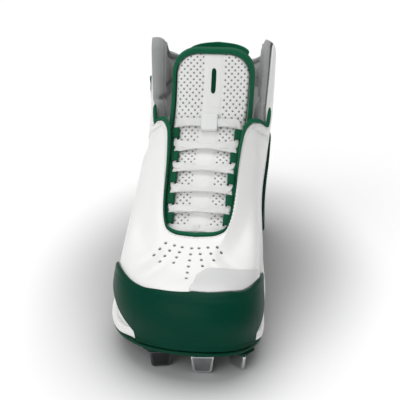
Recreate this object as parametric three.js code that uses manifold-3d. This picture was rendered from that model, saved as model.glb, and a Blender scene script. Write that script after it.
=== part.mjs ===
import * as THREE from "three";
import { mergeVertices } from "three/addons/utils/BufferGeometryUtils.js";
import Module from "manifold-3d";

// A high-collared athletic cleat for the right foot, in millimetres.
// The toe points to -Y, +X is the medial side, and +Z is up.
// The origin is at the middle of the shoe's box, on the ground.

const wasm = await Module();
wasm.setup();

// Driving sizes of the whole shoe

const LENGTH = 297; // toe to heel of the last, over the upper
const BALL_WIDTH = 104; // widest, at the joints of the toes
const TOE_HEIGHT = 39; // toe box above the midsole
const VAMP_HEIGHT = 50; // foot of the throat above the midsole
const INSTEP_HEIGHT = 97; // top lace loops above the midsole
const COLLAR_HEIGHT = 142; // peaks of the collar above the midsole
const HEEL_HEIGHT = 109; // back of the collar above the midsole
const TOE_SWING = 13; // how far the toe's tip lies to the medial side
const COLLAR_SHIFT = 5.5; // how far the collar lies to the medial side
const THROAT_WIDTH = 49; // between the eyestays at their middle
const COLLAR_WIDTH = 93; // between the collar's outer sides

// Sizes of the sole

const SPIKE_DROP = 12.5; // plate's underside above the ground
const PLATE_THICKNESS = 4;
const MIDSOLE_FORE = 7;
const MIDSOLE_HEEL = 20;
const TOE_SPRING = 7;
const ARCH_RISE = 4;
const PLATE_INSET = 0.8; // plate's edge inside the midsole's and bumper's
const MIDSOLE_FLARE = 2.6; // midsole's edge outside the upper, behind the bumper
const INSOLE_THICKNESS = 4;
const POD_DEPTH = 3.6;
const BLADE_WIDTH = 15;
const BLADE_THICKNESS = 2.6;
const TOE_SPIKE_LIFT = 0.9; // tips of the toe spikes above the ground

// Walls and clearances

const WALL = 2.5; // the upper's wall
const GAP = 0.3; // between pieces that meet
const LIFT = 0.6; // an overlay's inner face above the curved face under it
const BUMPER_THICKNESS = 2;
const COUNTER_THICKNESS = 1.4;
const OVERLAY_THICKNESS = 0.8;
const LINING_THICKNESS = 7.5;
const LINING_ROLL = 2.6; // lining above the shell's edge
const PIPING_WIDTH = 3.4;

// Sizes of the closure

const LACE_WIDTH = 5.6;
const LACE_PINCH = 4; // the lace's width inside its loops
const LACE_DETAIL = 0.1; // smallest step kept on the joined lace
const LACE_THICKNESS = 1.4;
const LOOP_LENGTH = 8.5; // webbing, along the throat
const WEBBING = 1;
const LOOP_CLEARANCE = 1.7; // from the piping's rim, across the throat
const LOOP_STRIP = 2.4; // depth of the webbing that joins the loops of one side
const SLOT_ROOM = 0.6; // round the lace in its loops
const BINDING_WIDTH = 4.6;
const TONGUE_THICKNESS = 9; // at its thickest
const TONGUE_CROWN = 10; // fall of its front from the middle to the sides, at the instep
const TONGUE_CORNER = 17;
const KEEPER_WIDTH = 14;
const KEEPER_HEIGHT = 13;
const HEEL_TAB_RISE = 13.5; // above the back of the collar
const HEEL_TAB_THICKNESS = 3.2;
const SIDE_TAB_THICKNESS = 3;

// Grid of the curved pieces

const SIDE_COLUMNS = 36; // from toe to heel on each side
const COLUMNS = 2 * SIDE_COLUMNS;
const UPPER_ROWS = 11;

// A table is written as a line of column names and rows of shares
function table(names, rows) {
  const keys = names.split(" ");
  return rows.map((row) => Object.fromEntries(keys.map((key, i) => [key, row[i]])));
}

// A table's column as a smooth curve that never overshoots its rows; the first column is the place
function read(rows, column, at) {
  const place = Object.keys(rows[0])[0];
  const last = rows.length - 1;
  if (at <= rows[0][place]) return rows[0][column];
  if (at >= rows[last][place]) return rows[last][column];
  const slope = (i) => (rows[i + 1][column] - rows[i][column]) / (rows[i + 1][place] - rows[i][place]);
  const bend = (i) => {
    if (i === 0) return slope(0);
    if (i === last) return slope(last - 1);
    const product = slope(i - 1) * slope(i);
    return product <= 0 ? 0 : (2 * product) / (slope(i - 1) + slope(i));
  };
  const i = rows.findIndex((row) => row[place] >= at) - 1;
  const span = rows[i + 1][place] - rows[i][place];
  const f = (at - rows[i][place]) / span;
  const low = rows[i][column];
  const high = rows[i + 1][column];
  const rest = 1 - f;
  return (
    low * (1 + 2 * f) * rest * rest +
    high * (3 - 2 * f) * f * f +
    span * f * rest * (bend(i) * rest - bend(i + 1) * f)
  );
}

const mix = THREE.MathUtils.lerp;
const smooth = THREE.MathUtils.smoothstep;
const vector = (x, y, z) => new THREE.Vector3(x, y, z);

// Height of the plate's underside at a share of the length
const SPRING_SHARE = 0.24;
function plateBottom(u) {
  const spring = TOE_SPRING * Math.max(0, 1 - u / SPRING_SHARE) ** 2;
  const arch = ARCH_RISE * smooth(u, 0.36, 0.52) * (1 - smooth(u, 0.6, 0.74));
  return SPIKE_DROP + spring + arch;
}

function midsoleTop(u) {
  const foam = mix(MIDSOLE_FORE, MIDSOLE_HEEL, smooth(u, 0.3, 0.68));
  return plateBottom(u) + PLATE_THICKNESS + foam;
}

// Height of the upper's crest above the midsole, u along the length
const CREST = table("u rise", [
  [0.0, 0.72 * TOE_HEIGHT],
  [0.06, 0.87 * TOE_HEIGHT],
  [0.127, TOE_HEIGHT],
  [0.25, VAMP_HEIGHT],
  [0.4, 0.8 * INSTEP_HEIGHT],
  [0.5, INSTEP_HEIGHT],
  [0.57, 1.17 * INSTEP_HEIGHT],
  [0.64, COLLAR_HEIGHT],
  [0.75, 0.93 * COLLAR_HEIGHT],
  [0.85, 1.12 * HEEL_HEIGHT],
  [1.0, HEEL_HEIGHT],
]);

// Rails run round the shoe, one above the other.
// toe and heel are their ends on the length, nose and tail the shares of it that their round ends take.
// medial and lateral are half widths as shares of the ball width, rise a share of the crest.
const RAILS = {
  sole: {
    toe: 0.008,
    heel: 0.992,
    nose: 0.2,
    tail: 0.16,
    round: 2.3,
    rows: table("u medial lateral rise", [
      [0.0, 0.455, 0.455, 0],
      [0.12, 0.47, 0.465, 0],
      [0.25, 0.465, 0.49, 0],
      [0.34, 0.46, 0.495, 0],
      [0.46, 0.43, 0.46, 0],
      [0.6, 0.395, 0.415, 0],
      [0.75, 0.39, 0.37, 0],
      [0.88, 0.39, 0.35, 0],
      [1.0, 0.39, 0.35, 0],
    ]),
  },
  wall: {
    toe: 0,
    heel: 1,
    nose: 0.2,
    tail: 0.16,
    round: 2.3,
    rows: table("u medial lateral rise", [
      [0.0, 0.46, 0.46, 0.46],
      [0.12, 0.468, 0.46, 0.45],
      [0.25, 0.468, 0.486, 0.36],
      [0.34, 0.468, 0.497, 0.3],
      [0.46, 0.445, 0.475, 0.2],
      [0.6, 0.41, 0.43, 0.14],
      [0.75, 0.4, 0.37, 0.14],
      [0.88, 0.385, 0.345, 0.2],
      [1.0, 0.38, 0.34, 0.22],
    ]),
  },
  shoulder: {
    toe: 0.027,
    heel: 0.99,
    nose: 0.22,
    tail: 0.18,
    round: 2.25,
    rows: table("u medial lateral rise", [
      [0.027, 0.41, 0.41, 0.9],
      [0.12, 0.42, 0.415, 0.8],
      [0.25, 0.448, 0.445, 0.75],
      [0.34, 0.448, 0.455, 0.66],
      [0.46, 0.435, 0.445, 0.5],
      [0.6, 0.44, 0.41, 0.37],
      [0.75, 0.43, 0.37, 0.38],
      [0.88, 0.38, 0.33, 0.5],
      [1.0, 0.37, 0.32, 0.56],
    ]),
  },
  ankle: {
    toe: 0.122,
    heel: 0.972,
    nose: 0.3,
    tail: 0.2,
    round: 2.1,
    rows: table("u medial lateral rise", [
      [0.12, 0.29, 0.29, 1.0],
      [0.25, 0.35, 0.35, 0.93],
      [0.34, 0.37, 0.375, 0.9],
      [0.46, 0.41, 0.385, 0.84],
      [0.55, 0.45, 0.395, 0.68],
      [0.65, 0.475, 0.42, 0.57],
      [0.75, 0.465, 0.405, 0.58],
      [0.88, 0.4, 0.34, 0.72],
      [1.0, 0.34, 0.29, 0.78],
    ]),
  },
};

// The upper's edge from the foot of the throat over the eyestay, notch and ear to the heel.
// half is a share of the width named beside it, y a share of the length, rise a height above the midsole.
const EDGE = table("t half y shift rise", [
  [0.0, 0, -0.26, 0.64 * COLLAR_SHIFT, VAMP_HEIGHT],
  [0.06, 0.25 * THROAT_WIDTH, -0.255, 0.64 * COLLAR_SHIFT, 1.01 * VAMP_HEIGHT],
  [0.12, 0.425 * THROAT_WIDTH, -0.234, 0.64 * COLLAR_SHIFT, 1.06 * VAMP_HEIGHT],
  [0.2, 0.5 * THROAT_WIDTH, -0.182, 0.64 * COLLAR_SHIFT, 0.64 * INSTEP_HEIGHT],
  [0.32, 0.525 * THROAT_WIDTH, -0.101, 0.67 * COLLAR_SHIFT, 0.835 * INSTEP_HEIGHT],
  [0.42, 0.575 * THROAT_WIDTH, -0.027, 0.73 * COLLAR_SHIFT, 0.955 * INSTEP_HEIGHT],
  [0.465, 0.35 * COLLAR_WIDTH, 0.003, 0.8 * COLLAR_SHIFT, 0.985 * INSTEP_HEIGHT],
  [0.5, 0.41 * COLLAR_WIDTH, 0.026, 0.91 * COLLAR_SHIFT, 0.955 * INSTEP_HEIGHT],
  [0.527, 0.455 * COLLAR_WIDTH, 0.05, COLLAR_SHIFT, 0.89 * INSTEP_HEIGHT],
  [0.555, 0.475 * COLLAR_WIDTH, 0.076, COLLAR_SHIFT, 0.73 * COLLAR_HEIGHT],
  [0.583, 0.49 * COLLAR_WIDTH, 0.1, COLLAR_SHIFT, 0.87 * COLLAR_HEIGHT],
  [0.611, 0.497 * COLLAR_WIDTH, 0.122, COLLAR_SHIFT, 0.965 * COLLAR_HEIGHT],
  [0.64, 0.5 * COLLAR_WIDTH, 0.146, COLLAR_SHIFT, COLLAR_HEIGHT],
  [0.68, 0.497 * COLLAR_WIDTH, 0.178, COLLAR_SHIFT, 0.985 * COLLAR_HEIGHT],
  [0.74, 0.475 * COLLAR_WIDTH, 0.236, 0.91 * COLLAR_SHIFT, 0.915 * COLLAR_HEIGHT],
  [0.82, 0.42 * COLLAR_WIDTH, 0.326, 0.73 * COLLAR_SHIFT, 1.1 * HEEL_HEIGHT],
  [0.9, 0.3 * COLLAR_WIDTH, 0.405, 0.45 * COLLAR_SHIFT, 1.02 * HEEL_HEIGHT],
  [0.96, 0.145 * COLLAR_WIDTH, 0.445, 0.25 * COLLAR_SHIFT, HEEL_HEIGHT],
  [1.0, 0, 0.458, 0.18 * COLLAR_SHIFT, HEEL_HEIGHT],
]);

// A place round the shoe: 0 is the toe, 1 the heel by the medial side, 2 the toe again by the lateral side
function turn(p) {
  const way = THREE.MathUtils.euclideanModulo(p, 2);
  return way <= 1 ? { t: way, side: 1 } : { t: 2 - way, side: -1 };
}

function roundEnd(share, zone, power) {
  return share >= zone ? 1 : (1 - ((zone - share) / zone) ** power) ** (1 / power);
}

function swing(u) {
  return TOE_SWING * Math.max(0, 1 - u / SPRING_SHARE) ** 2 + smooth(u, 0.7, 1);
}

function railPoint(rail, p) {
  const { t, side } = turn(p);
  const share = (1 - Math.cos(Math.PI * t)) / 2;
  const u = mix(rail.toe, rail.heel, share);
  const ends = roundEnd(share, rail.nose, rail.round) * roundEnd(1 - share, rail.tail, rail.round);
  const half = read(rail.rows, side > 0 ? "medial" : "lateral", u) * BALL_WIDTH * ends;
  const z = midsoleTop(u) + read(rail.rows, "rise", u) * read(CREST, "rise", u);
  return vector(swing(u) + side * half, (u - 0.5) * LENGTH, z);
}

function edgePoint(p) {
  const { t, side } = turn(p);
  const y = read(EDGE, "y", t);
  const x = read(EDGE, "shift", t) + side * read(EDGE, "half", t);
  return vector(x, y * LENGTH, midsoleTop(y + 0.5) + read(EDGE, "rise", t));
}

// The shoe's outer face: level 0 is the midsole's foot, SEAM_LEVEL its top, and 1 the upper's edge.
// Past 1 it goes straight on, a hundred millimetres for each whole level.
const SEAM_LEVEL = 0.2;
const PAST_EDGE = 100;
const lines = new Map();
function faceLine(p) {
  if (!lines.has(p)) {
    const seam = railPoint(RAILS.sole, p);
    const foot = seam.clone();
    const u = foot.y / LENGTH + 0.5;
    foot.z = plateBottom(u) + PLATE_THICKNESS;
    const rails = [foot, seam, railPoint(RAILS.wall, p), railPoint(RAILS.shoulder, p)];
    rails.push(railPoint(RAILS.ankle, p), edgePoint(p));
    lines.set(p, new THREE.CatmullRomCurve3(rails, false, "centripetal"));
  }
  return lines.get(p);
}

function face(p, level) {
  const line = faceLine(p);
  if (level <= 1) return line.getPoint(Math.max(0, level));
  return line.getPoint(1).addScaledVector(line.getTangent(1), (level - 1) * PAST_EDGE);
}

function faceNormal(p, level) {
  const step = 0.01;
  const along = face(p + step, level).sub(face(p - step, level));
  const high = Math.min(level, 1) + step / 2;
  const up = face(p, Math.max(high, step)).sub(face(p, Math.max(high, step) - step));
  return along.cross(up).normalize();
}

function faceOffset(p, level, distance) {
  return face(p, level).addScaledVector(faceNormal(p, level), distance);
}

// A closed body through rings of equal count. Its two ends are capped by strips that join
// ring points in pairs, mirrored about the first point (tip 0) or about its near side (tip 1).
function loft(rings, { looped = false, tip = 1 } = {}) {
  const count = rings[0].length;
  const at = (ring, i) => (ring % rings.length) * count + (i % count);
  const points = rings.flat();
  const index = [];
  const spans = looped ? rings.length : rings.length - 1;
  for (let ring = 0; ring < spans; ring++) {
    for (let i = 0; i < count; i++) {
      const [a, b, c, d] = [at(ring, i), at(ring, i + 1), at(ring + 1, i + 1), at(ring + 1, i)];
      const straight = points[a].distanceTo(points[c]) <= points[b].distanceTo(points[d]);
      index.push(...(straight ? [a, b, c, a, c, d] : [a, b, d, b, c, d]));
    }
  }
  const cap = (ring, flip) => {
    const triangle = (a, b, c) => {
      const corners = [at(ring, a), at(ring, b), at(ring, c)];
      if (new Set(corners).size === 3) index.push(...(flip ? corners : corners.reverse()));
    };
    for (let i = 0; i + 1 <= count - tip - i - 1; i++) {
      triangle(i, i + 1, count - tip - i - 1);
      triangle(i, count - tip - i - 1, count - tip - i);
    }
  };
  if (!looped) {
    cap(0, false);
    cap(rings.length - 1, true);
  }
  const positions = points.flatMap((point) => point.toArray());
  return outward(positions, index);
}

// Geometry whose faces point out, whichever way its rings run
function outward(positions, index) {
  const corner = (i) => vector(...positions.slice(3 * i, 3 * i + 3));
  let volume = 0;
  for (let i = 0; i < index.length; i += 3) {
    volume += corner(index[i]).dot(corner(index[i + 1]).cross(corner(index[i + 2])));
  }
  const geometry = new THREE.BufferGeometry();
  geometry.setAttribute("position", new THREE.Float32BufferAttribute(positions, 3));
  geometry.setIndex(volume < 0 ? index.slice().reverse() : index);
  geometry.computeVertexNormals();
  return geometry;
}

const range = (count) => Array.from({ length: count }, (_, i) => i);
const spread = (from, to, count) => range(count).map((i) => mix(from, to, i / (count - 1)));

// A panel on the face: it lies between two levels and two distances from the face.
// low and high take the place round the shoe, and fullness is the thickness share at those borders.
function panel({ places, rows, low, high, near, far, fullness = [0.5, 0.5] }) {
  const rings = places.map((place) => {
    const p = place / SIDE_COLUMNS;
    const levels = spread(0, 1, rows);
    const outer = levels.map((f) => {
      const border = Math.min(1, mix(fullness[0], 1, 4 * f), mix(fullness[1], 1, 4 * (1 - f)));
      return faceOffset(p, mix(low(p), high(p), f), mix(near, far, border));
    });
    const inner = levels.map((f) => faceOffset(p, mix(low(p), high(p), f), near));
    return [...outer, ...inner.reverse()];
  });
  return loft(rings);
}

// Columns of the shoe's grid from one to another, with whole steps between them
function columns(from, to, parts = 1) {
  return spread(from, to, Math.round((to - from) * parts) + 1);
}

// Boolean work

function solidOf(geometry) {
  const plain = geometry.clone();
  plain.deleteAttribute("normal");
  plain.deleteAttribute("uv");
  const merged = mergeVertices(plain, 1e-4);
  const vertProperties = merged.attributes.position.array;
  const triVerts = new Uint32Array(merged.index.array);
  return new wasm.Manifold(new wasm.Mesh({ numProp: 3, vertProperties, triVerts }));
}

function geometryOf(solid) {
  const mesh = solid.getMesh();
  const geometry = new THREE.BufferGeometry();
  geometry.setAttribute("position", new THREE.Float32BufferAttribute(mesh.vertProperties, 3));
  geometry.setIndex(Array.from(mesh.triVerts));
  geometry.computeVertexNormals();
  return geometry;
}

// Upper: one hollow shell, open at the top and underneath

function upperGeometry() {
  const levels = spread(SEAM_LEVEL, 1, UPPER_ROWS);
  const rings = range(COLUMNS).map((k) => {
    const p = k / SIDE_COLUMNS;
    const outer = levels.map((level) => faceOffset(p, level, 0));
    const inner = levels.map((level) => faceOffset(p, level, -WALL));
    inner[0].z = outer[0].z;
    outer[0].z += GAP;
    inner[0].z += GAP;
    return [...outer, ...inner.reverse()];
  });
  return loft(rings, { looped: true });
}

// Sole outline at a distance outside the face, at heights given by u
function soleRing(count, outset, height) {
  return range(count).map((k) => {
    const p = (2 * k) / count;
    const point = face(p, SEAM_LEVEL);
    const out = faceNormal(p, SEAM_LEVEL).setZ(0).normalize();
    const u = point.y / LENGTH + 0.5;
    return point.addScaledVector(out, outset(u)).setZ(height(u));
  });
}

// Behind the bumper's lower corners the midsole flares out beyond the upper
function behindBumper(u) {
  return smooth(u, 0.075, 0.12);
}

function midsoleGeometry() {
  const flare = (u) => MIDSOLE_FLARE * behindBumper(u);
  const top = (u) => midsoleTop(u);
  const bottom = (u) => plateBottom(u) + PLATE_THICKNESS + GAP;
  const waist = (u) => mix(bottom(u), top(u), 0.45);
  const foot = (u) => flare(u) - PLATE_INSET;
  const bulge = (u) => flare(u) + 0.4 * behindBumper(u);
  return loft(
    [
      soleRing(COLUMNS, foot, bottom),
      soleRing(COLUMNS, bulge, waist),
      soleRing(COLUMNS, flare, (u) => top(u) - 0.5),
      soleRing(COLUMNS, (u) => flare(u) - 0.5, top),
    ],
    { tip: 0 },
  );
}

function insoleGeometry() {
  const count = 48;
  const inset = () => -WALL - 1;
  const bottom = (u) => midsoleTop(u) + GAP;
  const top = (u) => bottom(u) + INSOLE_THICKNESS;
  return loft([soleRing(count, inset, bottom), soleRing(count, inset, top)], { tip: 0 });
}

// Spikes, placed by shares of the ball width and the length, turned about Z in degrees

const SPIKES = table("name x y turned tip", [
  ["spike_toe_centre", 0.135, -0.445, 4, TOE_SPIKE_LIFT],
  ["spike_toe_lateral", -0.135, -0.425, 14, TOE_SPIKE_LIFT],
  ["spike_toe_medial", 0.345, -0.415, -42, TOE_SPIKE_LIFT],
  ["spike_ball_medial", 0.37, -0.235, -68, 0],
  ["spike_ball_lateral", -0.4, -0.2, 66, 0],
  ["spike_ball_centre", -0.02, -0.27, 0, 0],
  ["spike_heel_medial", 0.27, 0.3, -62, 0],
  ["spike_heel_lateral", -0.25, 0.3, 62, 0],
  ["spike_heel_back", 0.01, 0.43, 0, 0],
]);

function spikePlace(spike) {
  return { x: spike.x * BALL_WIDTH, y: spike.y * LENGTH, z: plateBottom(spike.y + 0.5) };
}

// A ring of a block with cut corners
function blockRing(width, depth, z) {
  const cut = 0.28 * depth;
  const x = width / 2;
  const y = depth / 2;
  const corners = [
    [x - cut, y],
    [cut - x, y],
    [-x, y - cut],
    [-x, cut - y],
    [cut - x, -y],
    [x - cut, -y],
    [x, cut - y],
    [x, y - cut],
  ];
  return corners.map(([cx, cy]) => vector(cx, cy, z));
}

function placed(geometry, spike) {
  const place = spikePlace(spike);
  return geometry
    .rotateZ(THREE.MathUtils.degToRad(spike.turned))
    .translate(place.x, place.y, place.z);
}

function podGeometry(spike) {
  const root = 1.5;
  const rings = [
    blockRing(BLADE_WIDTH + 6, BLADE_THICKNESS + 8, root),
    blockRing(BLADE_WIDTH + 5, BLADE_THICKNESS + 7, -0.4),
    blockRing(BLADE_WIDTH + 1.6, BLADE_THICKNESS + 2.6, -POD_DEPTH),
  ];
  return placed(loft(rings), spike);
}

function bladeGeometry(spike) {
  const top = -POD_DEPTH - GAP;
  const tip = spike.tip - spikePlace(spike).z;
  const rings = [
    blockRing(BLADE_WIDTH, BLADE_THICKNESS, top),
    blockRing(0.88 * BLADE_WIDTH, 0.9 * BLADE_THICKNESS, tip),
  ];
  return placed(loft(rings), spike);
}

function plateGeometry() {
  const edge = (u) => mix(LIFT + BUMPER_THICKNESS, MIDSOLE_FLARE, behindBumper(u)) - PLATE_INSET;
  const bottom = (u) => plateBottom(u);
  const top = (u) => plateBottom(u) + PLATE_THICKNESS;
  const rings = [
    soleRing(COLUMNS, (u) => edge(u) - 1.4, bottom),
    soleRing(COLUMNS, edge, (u) => bottom(u) + 1.6),
    soleRing(COLUMNS, edge, top),
  ];
  const body = solidOf(loft(rings, { tip: 0 }));
  return geometryOf(SPIKES.reduce((plate, spike) => plate.add(solidOf(podGeometry(spike))), body));
}

// Overlays on the upper

// The bumper's foot rises behind its lower front corners, and its top is higher on the lateral side
const BUMPER_COLUMNS = 13;
const BUMPER_CORNER = 5.8; // column where the foot starts to rise
const BUMPER = table("t low medial lateral", [
  [0.0, 0.03, 0.645, 0.645],
  [0.1, 0.03, 0.62, 0.62],
  [0.161, 0.03, 0.59, 0.6],
  [0.166, 0.25, 0.585, 0.6],
  [0.2, 0.31, 0.57, 0.595],
  [0.25, 0.355, 0.545, 0.59],
  [0.31, 0.385, 0.53, 0.58],
  [0.36, 0.42, 0.5, 0.55],
]);

function bumperTop(p) {
  const { t, side } = turn(p);
  return read(BUMPER, side > 0 ? "medial" : "lateral", t);
}

function bumperGeometry() {
  const corner = BUMPER_CORNER;
  const front = columns(1 - Math.ceil(corner), Math.floor(corner));
  const side = columns(Math.ceil(corner), BUMPER_COLUMNS);
  const back = side.map((column) => -column).reverse();
  return panel({
    places: [...back, -corner, ...front, corner, ...side],
    rows: 9,
    low: (p) => read(BUMPER, "low", turn(p).t),
    high: bumperTop,
    near: LIFT,
    far: LIFT + BUMPER_THICKNESS,
  });
}

// The pale overlay starts beside the toe's tip and runs along the bumper on the medial side
const OVERLAY_START = -0.3;
const OVERLAY_END = 10;
const OVERLAY = table("p high", [
  [-0.01, 0.66],
  [0.0, 0.69],
  [0.042, 0.765],
  [0.086, 0.78],
  [0.139, 0.75],
  [0.211, 0.67],
  [0.278, 0.575],
]);

function toeOverlayGeometry() {
  const border = 0.008;
  return panel({
    places: [OVERLAY_START, ...columns(0, OVERLAY_END)],
    rows: 4,
    low: (p) => bumperTop(p) + border,
    high: (p) => Math.max(read(OVERLAY, "high", p), bumperTop(p) + 2 * border) + border,
    near: LIFT,
    far: LIFT + OVERLAY_THICKNESS,
  });
}

// The counter's top sweeps up to the instep on the medial side and stays low on the lateral side
const COUNTER_COLUMN = 14;
const COUNTER = table("t low medial lateral", [
  [0.389, 0.44, 0.58, 0.52],
  [0.42, 0.37, 0.655, 0.545],
  [0.45, 0.32, 0.69, 0.56],
  [0.48, 0.28, 0.71, 0.575],
  [0.51, 0.25, 0.715, 0.6],
  [0.56, 0.235, 0.695, 0.64],
  [0.6, 0.23, 0.685, 0.66],
  [0.65, 0.23, 0.69, 0.68],
  [0.72, 0.23, 0.68, 0.68],
  [0.8, 0.23, 0.65, 0.65],
  [1.0, 0.23, 0.645, 0.645],
]);

function counterGeometry() {
  return panel({
    places: columns(COUNTER_COLUMN, COLUMNS - COUNTER_COLUMN),
    rows: 4,
    low: (p) => read(COUNTER, "low", turn(p).t),
    high: (p) => read(COUNTER, turn(p).side > 0 ? "medial" : "lateral", turn(p).t),
    near: LIFT,
    far: LIFT + COUNTER_THICKNESS,
  });
}

const PIPING_COLUMN = 20;

const LINING_COLUMNS = [19.2, PIPING_COLUMN, PIPING_COLUMN + 0.35];
const LINING = table("t low", [
  [0.533, 0.9],
  [0.56, 0.87],
  [0.6, 0.85],
  [0.7, 0.84],
  [1.0, 0.86],
]);

// The padded lining lies against the shell's inside and rolls over its edge
function liningGeometry() {
  const rows = 4;
  const back = -WALL - GAP - 0.2;
  const front = LINING_COLUMNS.map((column) => COLUMNS - column).reverse();
  const first = PIPING_COLUMN + 1;
  const places = [...LINING_COLUMNS, ...columns(first, COLUMNS - first), ...front];
  const rings = places.map((place) => {
    const p = place / SIDE_COLUMNS;
    const low = read(LINING, "low", turn(p).t);
    const past = (rise) => 1 + rise / PAST_EDGE;
    const hidden = spread(low, past(0), rows).map((level) => faceOffset(p, level, back));
    const side = Math.min(place, COLUMNS - place);
    const over = side > PIPING_COLUMN ? 1 : 0;
    const roll = [
      faceOffset(p, past(GAP + 0.2), mix(back, -0.2, over)),
      faceOffset(p, past(0.6 * LINING_ROLL), mix(back, 0, over)),
      faceOffset(p, past(LINING_ROLL), mix(back - 0.3, -0.8, over)),
      faceOffset(p, past(LINING_ROLL), back - 0.7),
    ];
    hidden[rows - 1] = faceOffset(p, past(GAP + 0.2), back);
    const pad = spread(past(0.4 * LINING_ROLL), low, rows + 1).map((level, i) => {
      const full = Math.sin((Math.PI * (i + 1.6)) / (rows + 2.2)) ** 0.6;
      return faceOffset(p, level, back - LINING_THICKNESS * full);
    });
    return [...hidden, ...roll, ...pad];
  });
  return loft(rings);
}

function pipingGeometry() {
  const gap = (GAP + 0.1) / PAST_EDGE;
  const out = (GAP + PIPING_WIDTH) / PAST_EDGE;
  const rings = columns(-PIPING_COLUMN, PIPING_COLUMN).map((place) => {
    const p = place / SIDE_COLUMNS;
    return [
      faceOffset(p, 1 + gap, 0.8),
      faceOffset(p, 1 + 0.6 * out, 1),
      faceOffset(p, 1 + out, 0),
      faceOffset(p, 1 + out, -1.4),
      faceOffset(p, 1 + 0.6 * out, -2),
      faceOffset(p, 1 + gap, -1.8),
    ];
  });
  return loft(rings, { tip: 1 });
}

const HEEL_TAB_COLUMN = 33.5;

function heelTabGeometry() {
  const zone = 1 - HEEL_TAB_COLUMN / SIDE_COLUMNS;
  const shape = (p) => roundEnd(zone + 0.004 - Math.abs(1 - p), zone, 3);
  return panel({
    places: columns(HEEL_TAB_COLUMN, COLUMNS - HEEL_TAB_COLUMN, 2),
    rows: 6,
    low: () => 0.78,
    high: (p) => 1 + (HEEL_TAB_RISE / PAST_EDGE) * shape(p),
    near: LIFT,
    far: LIFT + HEEL_TAB_THICKNESS,
  });
}

const SIDE_TAB_COLUMN = COLUMNS - 23.5;

function sideTabGeometry() {
  return panel({
    places: columns(SIDE_TAB_COLUMN - 0.5, SIDE_TAB_COLUMN + 0.5, 2),
    rows: 5,
    low: () => 0.82,
    high: () => 0.91,
    near: LIFT,
    far: LIFT + SIDE_TAB_THICKNESS,
    fullness: [1, 0.5],
  });
}

// Tongue: a padded strip whose middle line runs from under the vamp up past the collar's notches.
// b is a share of the line, y a share of the length, and rise a height above the forefoot's midsole.
const TONGUE_FOOT = midsoleTop(0.3);
const TONGUE_LINE = table("b y rise", [
  [0.0, -0.317, 0.72 * VAMP_HEIGHT],
  [0.1, -0.263, 0.87 * VAMP_HEIGHT],
  [0.28, -0.182, 0.655 * INSTEP_HEIGHT],
  [0.47, -0.101, 0.87 * INSTEP_HEIGHT],
  [0.65, -0.027, 1.06 * INSTEP_HEIGHT],
  [0.77, 0.01, 0.84 * COLLAR_HEIGHT],
  [0.89, 0.027, 0.98 * COLLAR_HEIGHT],
  [1.0, 0.03, 1.12 * COLLAR_HEIGHT],
]);

// half is a share of the throat's width, crown and thick of the tongue's own, shift of the collar's
const TONGUE_SHARES = table("b half crown thick shift", [
  [0.0, 0.36, 0.3, 0.33, 0.64],
  [0.1, 0.43, 0.5, 0.38, 0.64],
  [0.28, 0.55, 0.8, 0.56, 0.65],
  [0.47, 0.6, 0.9, 0.67, 0.71],
  [0.65, 0.6, 1, 0.78, 0.87],
  [0.77, 0.61, 0.8, 0.94, 1.15],
  [0.89, 0.615, 0.6, 1, 1.31],
  [1.0, 0.615, 0.45, 0.89, 1.38],
]);
const tongueLine = new THREE.CatmullRomCurve3(
  TONGUE_LINE.map((row) => vector(0, row.y * LENGTH, TONGUE_FOOT + row.rise)),
  false,
  "centripetal",
);
const TONGUE_LENGTH = tongueLine.getLength();

// The tongue's frame at a share b of its middle line
function tongueFrame(b) {
  const share = Math.min(Math.max(b, 0), 1);
  const along = tongueLine.getTangentAt(share);
  const normal = vector(0, -along.z, along.y);
  const middle = tongueLine.getPointAt(share);
  middle.addScaledVector(along, (b - share) * TONGUE_LENGTH);
  middle.x = read(TONGUE_SHARES, "shift", share) * COLLAR_SHIFT;
  return { middle, along, normal };
}

// A point at x millimetres across the tongue, above its front face by a height
function onTongue(x, b, height = 0) {
  const { middle, normal } = tongueFrame(b);
  const half = read(TONGUE_SHARES, "half", b) * THROAT_WIDTH;
  const drop = read(TONGUE_SHARES, "crown", b) * TONGUE_CROWN * (x / half) ** 2;
  middle.x += x;
  return middle.addScaledVector(normal, height - drop);
}

function tongueThickness(b) {
  return read(TONGUE_SHARES, "thick", b) * TONGUE_THICKNESS;
}

const BINDING_START = 0.66;
function tongueHalf(b) {
  const inset = (BINDING_WIDTH + GAP) * smooth(b, BINDING_START - 0.05, BINDING_START - 0.02);
  const half = read(TONGUE_SHARES, "half", b) * THROAT_WIDTH - inset;
  const corner = TONGUE_CORNER - BINDING_WIDTH;
  const past = Math.max(0, (b - 1) * TONGUE_LENGTH + BINDING_WIDTH + GAP + corner);
  return half - corner + Math.sqrt(Math.max(0, corner ** 2 - past ** 2));
}

function tongueGeometry() {
  const across = 8;
  const top = 1 - (BINDING_WIDTH + GAP) / TONGUE_LENGTH;
  const wide = spread(0, BINDING_START - 0.05, 8);
  const narrow = spread(BINDING_START - 0.02, 0.86, 4);
  const places = [...wide, ...narrow, 0.9, 0.93, top];
  const rings = places.map((b) => {
    const half = tongueHalf(b);
    const thick = tongueThickness(b);
    const front = spread(-1, 1, across + 1);
    const outer = front.map((a) => onTongue(a * half, b, -0.12 * thick * a ** 8));
    const inner = front.map((a) => onTongue(a * half, b, -thick * (1 - 0.25 * a ** 8)));
    return [...outer, ...inner.reverse()];
  });
  return loft(rings);
}

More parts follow.
